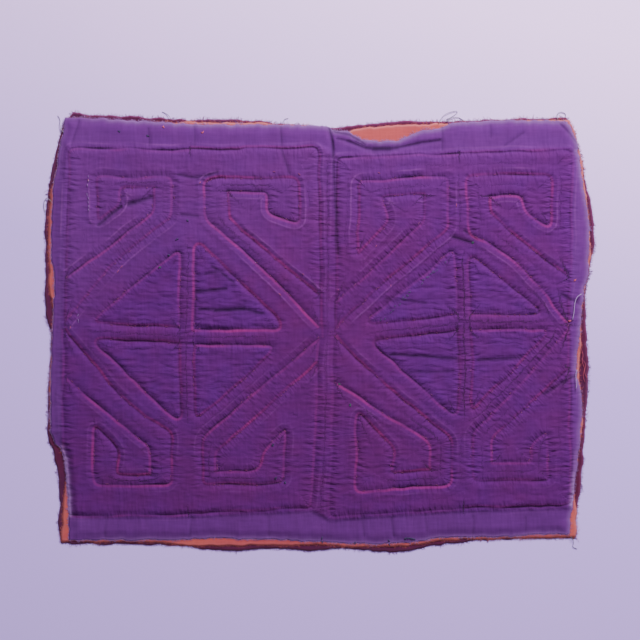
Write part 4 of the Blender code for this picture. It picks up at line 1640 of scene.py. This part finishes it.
@dataclass
class FrayedEdge:
    """Short yarn ends that stand out of a cloth's raw edge."""

    name: str
    node: str
    finish: WovenCotton
    height: float
    low: float
    seed: int
    paleness: float = 0.6
    pitch: float = 0.6 * MM
    longest: float = 2.2 * MM
    radius: float = 0.12 * MM
    # Along each yarn end: how far out its points are, for its length, and how thick it is there.
    way_out: tuple[float, ...] = (-0.3, 0.3, 0.75, 1.0)
    taper: tuple[float, ...] = (1.0, 1.0, 0.8, 0.35)
    sides: int = 3
    # How much the ends lean and curl aside, and the pitch in mm and least length of their tufts.
    lean: float = 0.55
    curl: float = 0.35
    tuft_pitch: float = 9.0
    tuft_least: float = 0.35

    def build(self) -> bpy.types.Object:
        """Make the yarn ends: each leaves the edge outwards, leans aside and droops.

        Along an end, the lean grows with the way out, and the curl and droop with its square.

        Returns:
            The yarn ends as one object.
        """
        random = np.random.default_rng(self.seed)
        outline = ClothCut(self.node).outline()
        points = resample(outline, int(line_length(outline) / self.pitch))[:-1]
        way = unit(np.roll(points, -1, axis=0) - points)
        out = np.column_stack([way[:, 1], -way[:, 0]])
        count = len(points)
        lean = random.normal(0, self.lean, (count, 1))
        tufts = np.abs(Noise(self.tuft_pitch, self.tuft_pitch, self.seed).at(*points.T))
        tuft = self.tuft_least + (1 - self.tuft_least) * tufts
        reach = self.longest * random.uniform(0.15, 1.0, count) ** 1.6 * tuft * 1.6
        t = np.array(self.way_out)
        curl = random.normal(0, self.curl, (count, 1))
        flat = (points[:, None] + out[:, None] * (reach[:, None] * t)[:, :, None]
                + way[:, None] * (reach[:, None] * (lean * t + curl * t ** 2))[:, :, None])
        droop = self.height - (self.height - self.low) * np.clip(t, 0, 1) ** 2
        heights = np.broadcast_to(droop, (count, len(t)))
        paths = np.concatenate([flat, heights[:, :, None]], axis=2)
        radii = np.broadcast_to(self.radius * np.array(self.taper), heights.shape)
        item = put_mesh(self.name, *tubes(paths, radii, self.sides))
        set_attribute(item, "raw_edge", np.full(len(item.data.vertices), self.paleness))
        item.data.materials.append(self.finish.build())
        return item


@dataclass
class LooseThreads:
    """Thread ends that lie over the cloth's edge, each a thin tube on a curve through given places.

    The routes are places in millimetres along each thread, from its fixed end to its free one.
    """

    name: str
    finish: TwistedThread
    routes: tuple[tuple[Place, ...], ...]
    high: float
    low: float
    radius: float = 0.16 * MM
    steps: int = 16
    bend_points: int = 7
    sides: int = 6
    stand: float = 1.3  # How high the thread's middle lies over what is below it, in radii.

    def build(self) -> bpy.types.Object:
        """Make the threads: each bends round its places and droops by the square of its way.

        At a place the thread is a quadratic curve from the middle of the run before it to the
        middle of the run after it, which leaves each run along its own way.

        Returns:
            The threads as one object.
        """
        paths = []
        fall = np.linspace(0, 1, self.steps)
        for route in self.routes:
            points = np.array(route, dtype=float) * MM
            middles = (points[1:] + points[:-1]) / 2
            knots = np.vstack([points[:1], middles, points[-1:]])
            t = np.linspace(0, 1, self.bend_points, endpoint=False)[:, None]
            curve = [(1 - t) ** 2 * a + 2 * t * (1 - t) * b + t ** 2 * c
                     for a, b, c in zip(knots[:-1], points, knots[1:])]
            line = resample(np.vstack([*curve, points[-1:]]), self.steps)
            height = self.low + (self.high - self.low) * (1 - fall) ** 2
            height += self.stand * self.radius
            paths.append(np.column_stack([line, height]))
        stack = np.array(paths)
        radii = np.full(stack.shape[:2], self.radius)
        item = put_mesh(self.name, *tubes(stack, radii, self.sides))
        item.data.materials.append(self.finish.build())
        return item


@dataclass(frozen=True)
class Lamp:
    """A square lamp that faces the panel's middle."""

    name: str
    place: tuple[float, float, float]
    size: float
    power: float
    colour: tuple[float, float, float]

    def build(self) -> None:
        """Add the lamp: its tilt and turn are the angles of the way from it to the origin."""
        light = bpy.data.lights.new(self.name, "AREA")
        light.size, light.energy, light.color = self.size, self.power, self.colour
        holder = bpy.data.objects.new(self.name, light)
        holder.location = self.place
        x, y, z = self.place
        holder.rotation_euler = (math.atan2(math.hypot(x, y), z), 0.0,
                                 math.atan2(-y, -x) - math.pi / 2)
        bpy.context.scene.collection.objects.link(holder)


@dataclass(frozen=True)
class PaintedBoard:
    """Matt painted board: pale lavender and barely mottled, with painted light that makes it
    paler and pinker towards the window.
    """

    name: str = "pale_painted_board"
    # The board's colours away from and towards the window: painted shade and painted light.
    shaded: str = "#CAAAF5"
    lit: str = "#EFC9FF"
    mottle_scale: float = 9.0  # Its blotches are about 110 mm wide.
    mottle_share: float = 0.04
    window: tuple[float, float, float] = (0.25, 1.0, 0.0)
    change: tuple[float, float] = (0.04, 0.3)  # How far towards the window the colour changes.
    roughness: float = 0.8
    specular: float = 0.1

    def build(self) -> bpy.types.Material:
        """Make the material: a blend of its shaded and lit colours along the way to the window, as
        painted light.

        Returns:
            The material.
        """
        material, tree, shader = new_finish(self.name, self.roughness)
        place = add_node(tree, "ShaderNodeTexCoord").outputs["Object"]
        mottle = add_node(tree, "ShaderNodeTexNoise",
                          {"Scale": self.mottle_scale, "Detail": 4.0}, {"Vector": place})
        towards = add_node(tree, "ShaderNodeVectorMath", {1: self.window}, {0: place},
                           operation="DOT_PRODUCT")
        uneven = add_node(tree, "ShaderNodeMath", {1: self.mottle_share}, {
            0: mottle.outputs["Fac"], 2: towards.outputs["Value"]}, operation="MULTIPLY_ADD")
        near, far = self.change
        share = add_node(tree, "ShaderNodeMapRange", {1: near, 2: far}, {0: uneven.outputs[0]})
        colour = add_node(tree, "ShaderNodeMix", {6: linear(self.shaded), 7: linear(self.lit)},
                          {0: share.outputs[0]}, data_type="RGBA")
        tree.links.new(colour.outputs[2], shader.inputs["Base Color"])
        shader.inputs["Specular IOR Level"].default_value = self.specular
        return material


@dataclass(frozen=True)
class Studio:
    """The pale surface, the soft light from above the panel's top edge, and the camera."""

    floor_size: float = 3.0
    floor_height: float = -0.02 * MM
    lamps: tuple[Lamp, ...] = (
        Lamp("Window", (0.48, 1.02, 0.68), 0.5, 42.0, (1.0, 0.95, 1.04)),
        Lamp("Room", (0.3, 0.4, 2.2), 1.6, 7.0, (0.97, 0.95, 1.0)),
    )
    sky_colour: tuple[float, float, float, float] = (0.92, 0.88, 1.08, 1.0)
    sky_strength: float = 0.35
    # What the camera sees across at the panel, the place it is over, its height, and its sensor.
    view_across: float = 0.490
    aim: Place = (0.0002, 0.0096)
    camera_height: float = 1.25
    sensor: float = 36.0

    def build(self) -> None:
        """Add the surface, the lights and the camera, whose lens is worked out from its view."""
        bpy.ops.mesh.primitive_plane_add(size=self.floor_size, location=(0, 0, self.floor_height))
        floor = bpy.context.object
        floor.name = "Floor"
        floor.data.materials.append(PaintedBoard().build())
        for lamp in self.lamps:
            lamp.build()
        world = bpy.data.worlds.new("Room")
        world.use_nodes = True
        background = world.node_tree.nodes["Background"]
        background.inputs["Color"].default_value = self.sky_colour
        background.inputs["Strength"].default_value = self.sky_strength
        bpy.context.scene.world = world
        camera = bpy.data.cameras.new("Camera")
        camera.sensor_width = self.sensor
        camera.lens = self.sensor * self.camera_height / self.view_across
        holder = bpy.data.objects.new("Camera", camera)
        holder.location = (*self.aim, self.camera_height)
        bpy.context.scene.collection.objects.link(holder)
        bpy.context.scene.camera = holder


# The places of the loose thread ends, from the fixed end to the free one, in millimetres.
GREY_ENDS = (
    ((91, 160), (94, 166), (100, 169), (107, 170), (103, 166), (97, 163)),
    ((96, 161), (101, 164.5), (106, 165), (110, 162.5)),
    ((182, 163), (181, 167), (184.5, 169.3), (188.5, 167.5), (188, 164.5)),
    ((-196, 153), (-199, 158), (-198.5, 163), (-200.5, 166)),
    ((-114, 163.5), (-116, 167), (-120.5, 169)),
    ((-205, 100), (-209.5, 104), (-211.5, 98), (-210.5, 92)),
    ((192, -156), (195, -160), (193, -164), (197, -165.5)),
    ((-28, 161), (-27, 163.5), (-24, 164)),
)
ORANGE_ENDS = (
    ((199, -11), (202, -17), (200, -22), (203, -27), (201, -33), (203, -38)),
    ((200, -20), (204, -24), (202, -30), (204.5, -35)),
)
PALE_ENDS = (
    ((200, 29.5), (196.2, 27.2), (194.4, 21), (194.2, 15), (193, 9.6)),
    ((196.5, -28.5), (195.2, -33), (196.4, -38), (195.8, -43)),
)
# Places of the coloured knots and specks that show on the backing, in millimetres.
ORANGE_KNOTS = ((-89.4, 152.8), (-119.3, 157.3), (190.9, 8.8), (195.0, 40.2))
DARK_KNOTS = ((-153.7, 153.5), (-131.5, 150.5), (-100.9, 85.4), (-109.3, 71.6), (27.0, -161.0),
              (66.0, -157.5), (70.5, -158.0))
BLUE_KNOTS = ((-115.4, 59.3), (-33.5, -111.4), (-26.6, -114.5), (-35.8, -86.1))
GREEN_KNOTS = ((117.0, 68.9), (14.7, -39.4), (23.2, -55.5), (-122.3, 50.2))
# Runs of stitches that follow no seam of the design, in metres.
PALE_RUNS = [np.array(run) * MM for run in (
    [(-176.5, 120.5), (-177.5, 106.0), (-176.0, 91.5)],
    [(-184.0, 16.0), (-184.5, 6.0)],
)]
BLUE_RUNS = [np.array(run) * MM for run in (
    [(2.4, -155.0), (1.6, -161.5)],
    [(51.8, -157.6), (53.4, -160.0), (54.4, -163.4)],
    [(64.0, -158.4), (67.5, -157.2), (73.0, -158.2)],
)]
GREEN_RUN = np.array([(101.3, 60.1), (73.0, 35.0), (45.4, 8.8)]) * MM
GREEN_ROW = 1.4 * MM  # How far apart the green run's two rows are.
BOLD_EDGE = 0.3 * MM  # The least height of a turned edge that shows orange stitches.


def main() -> None:
    """Load the frame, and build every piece."""
    logging.basicConfig(level=logging.INFO, format="%(name)s: %(message)s")
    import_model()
    Studio().build()

    backing = Backing(Design())
    purple = backing.build()
    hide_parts("backing_layer")
    orange = LowerCloth("middle_layer", "middle_cloth", ORANGE_COTTON, underside=0.42 * MM,
                        thickness=0.28 * MM, ripple=0.08 * MM, worn=1.3 * MM,
                        seed=41).build(backing.edge)
    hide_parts("middle_layer")
    burgundy = LowerCloth("front_layer", "front_cloth", BURGUNDY_COTTON, underside=0.02 * MM,
                          thickness=0.28 * MM, ripple=0.5 * MM, worn=0.7 * MM,
                          seed=51).build(backing.edge)
    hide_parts("front_layer")

    stitching = Stitching(backing)
    heavy_stitching = Stitching(backing, pitch=1.7 * MM, length=2.6 * MM, radius=0.42 * MM)
    sewn = [seam.points for seam in backing.sewn if seam.kind is not SeamKind.FRAME]
    turned = [seam.points for seam in backing.turned if seam.depth > BOLD_EDGE]
    pink = stitching.build("pink_stitches", sewn, PINK_THREAD, 61, share=0.2)
    warm = stitching.build("orange_stitches", turned, ORANGE_THREAD, 62, share=0.035)
    green = stitching.build("green_stitches", [GREEN_RUN, beside(GREEN_RUN, GREEN_ROW)],
                            GREEN_THREAD, 63, share=0.45)
    knots = [stitching.knots("orange_knots", ORANGE_KNOTS, ORANGE_THREAD, 64),
             stitching.knots("blue_knots", BLUE_KNOTS + DARK_KNOTS, BLUE_THREAD, 65),
             stitching.knots("green_knots", GREEN_KNOTS, GREEN_THREAD, 66)]
    frays = [FrayedEdge("front_fray", "front_layer", BURGUNDY_COTTON, height=0.25 * MM,
                        low=0.13 * MM, seed=71).build(),
             FrayedEdge("middle_fray", "middle_layer", ORANGE_COTTON, height=0.64 * MM,
                        low=0.45 * MM, seed=72).build(),
             FrayedEdge("backing_fray", "backing_layer", PURPLE_COTTON, height=0.88 * MM,
                        low=0.84 * MM, seed=73, paleness=0.9, pitch=0.5 * MM,
                        longest=1.9 * MM).build()]
    blue = heavy_stitching.build("blue_stitches", BLUE_RUNS, BLUE_THREAD, 68)
    pale = stitching.build("pale_stitches", PALE_RUNS, PALE_THREAD, 67, share=0.7)
    loose = [LooseThreads("grey_ends", GREY_THREAD, GREY_ENDS, high=1.5 * MM, low=0.0,
                          radius=0.22 * MM).build(),
             LooseThreads("orange_ends", ORANGE_THREAD, ORANGE_ENDS, high=1.4 * MM,
                          low=0.8 * MM).build(),
             LooseThreads("pale_ends", PALE_THREAD, PALE_ENDS, high=2.7 * MM, low=2.7 * MM,
                          radius=0.33 * MM).build()]

    pieces = [purple, orange, burgundy, pink, warm, green, blue, pale, *knots, *frays, *loose]
    for piece in pieces:
        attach(piece, "root")
        LOG.info("%s: %d faces", piece.name, len(piece.data.polygons))


if __name__ == "__main__":
    main()
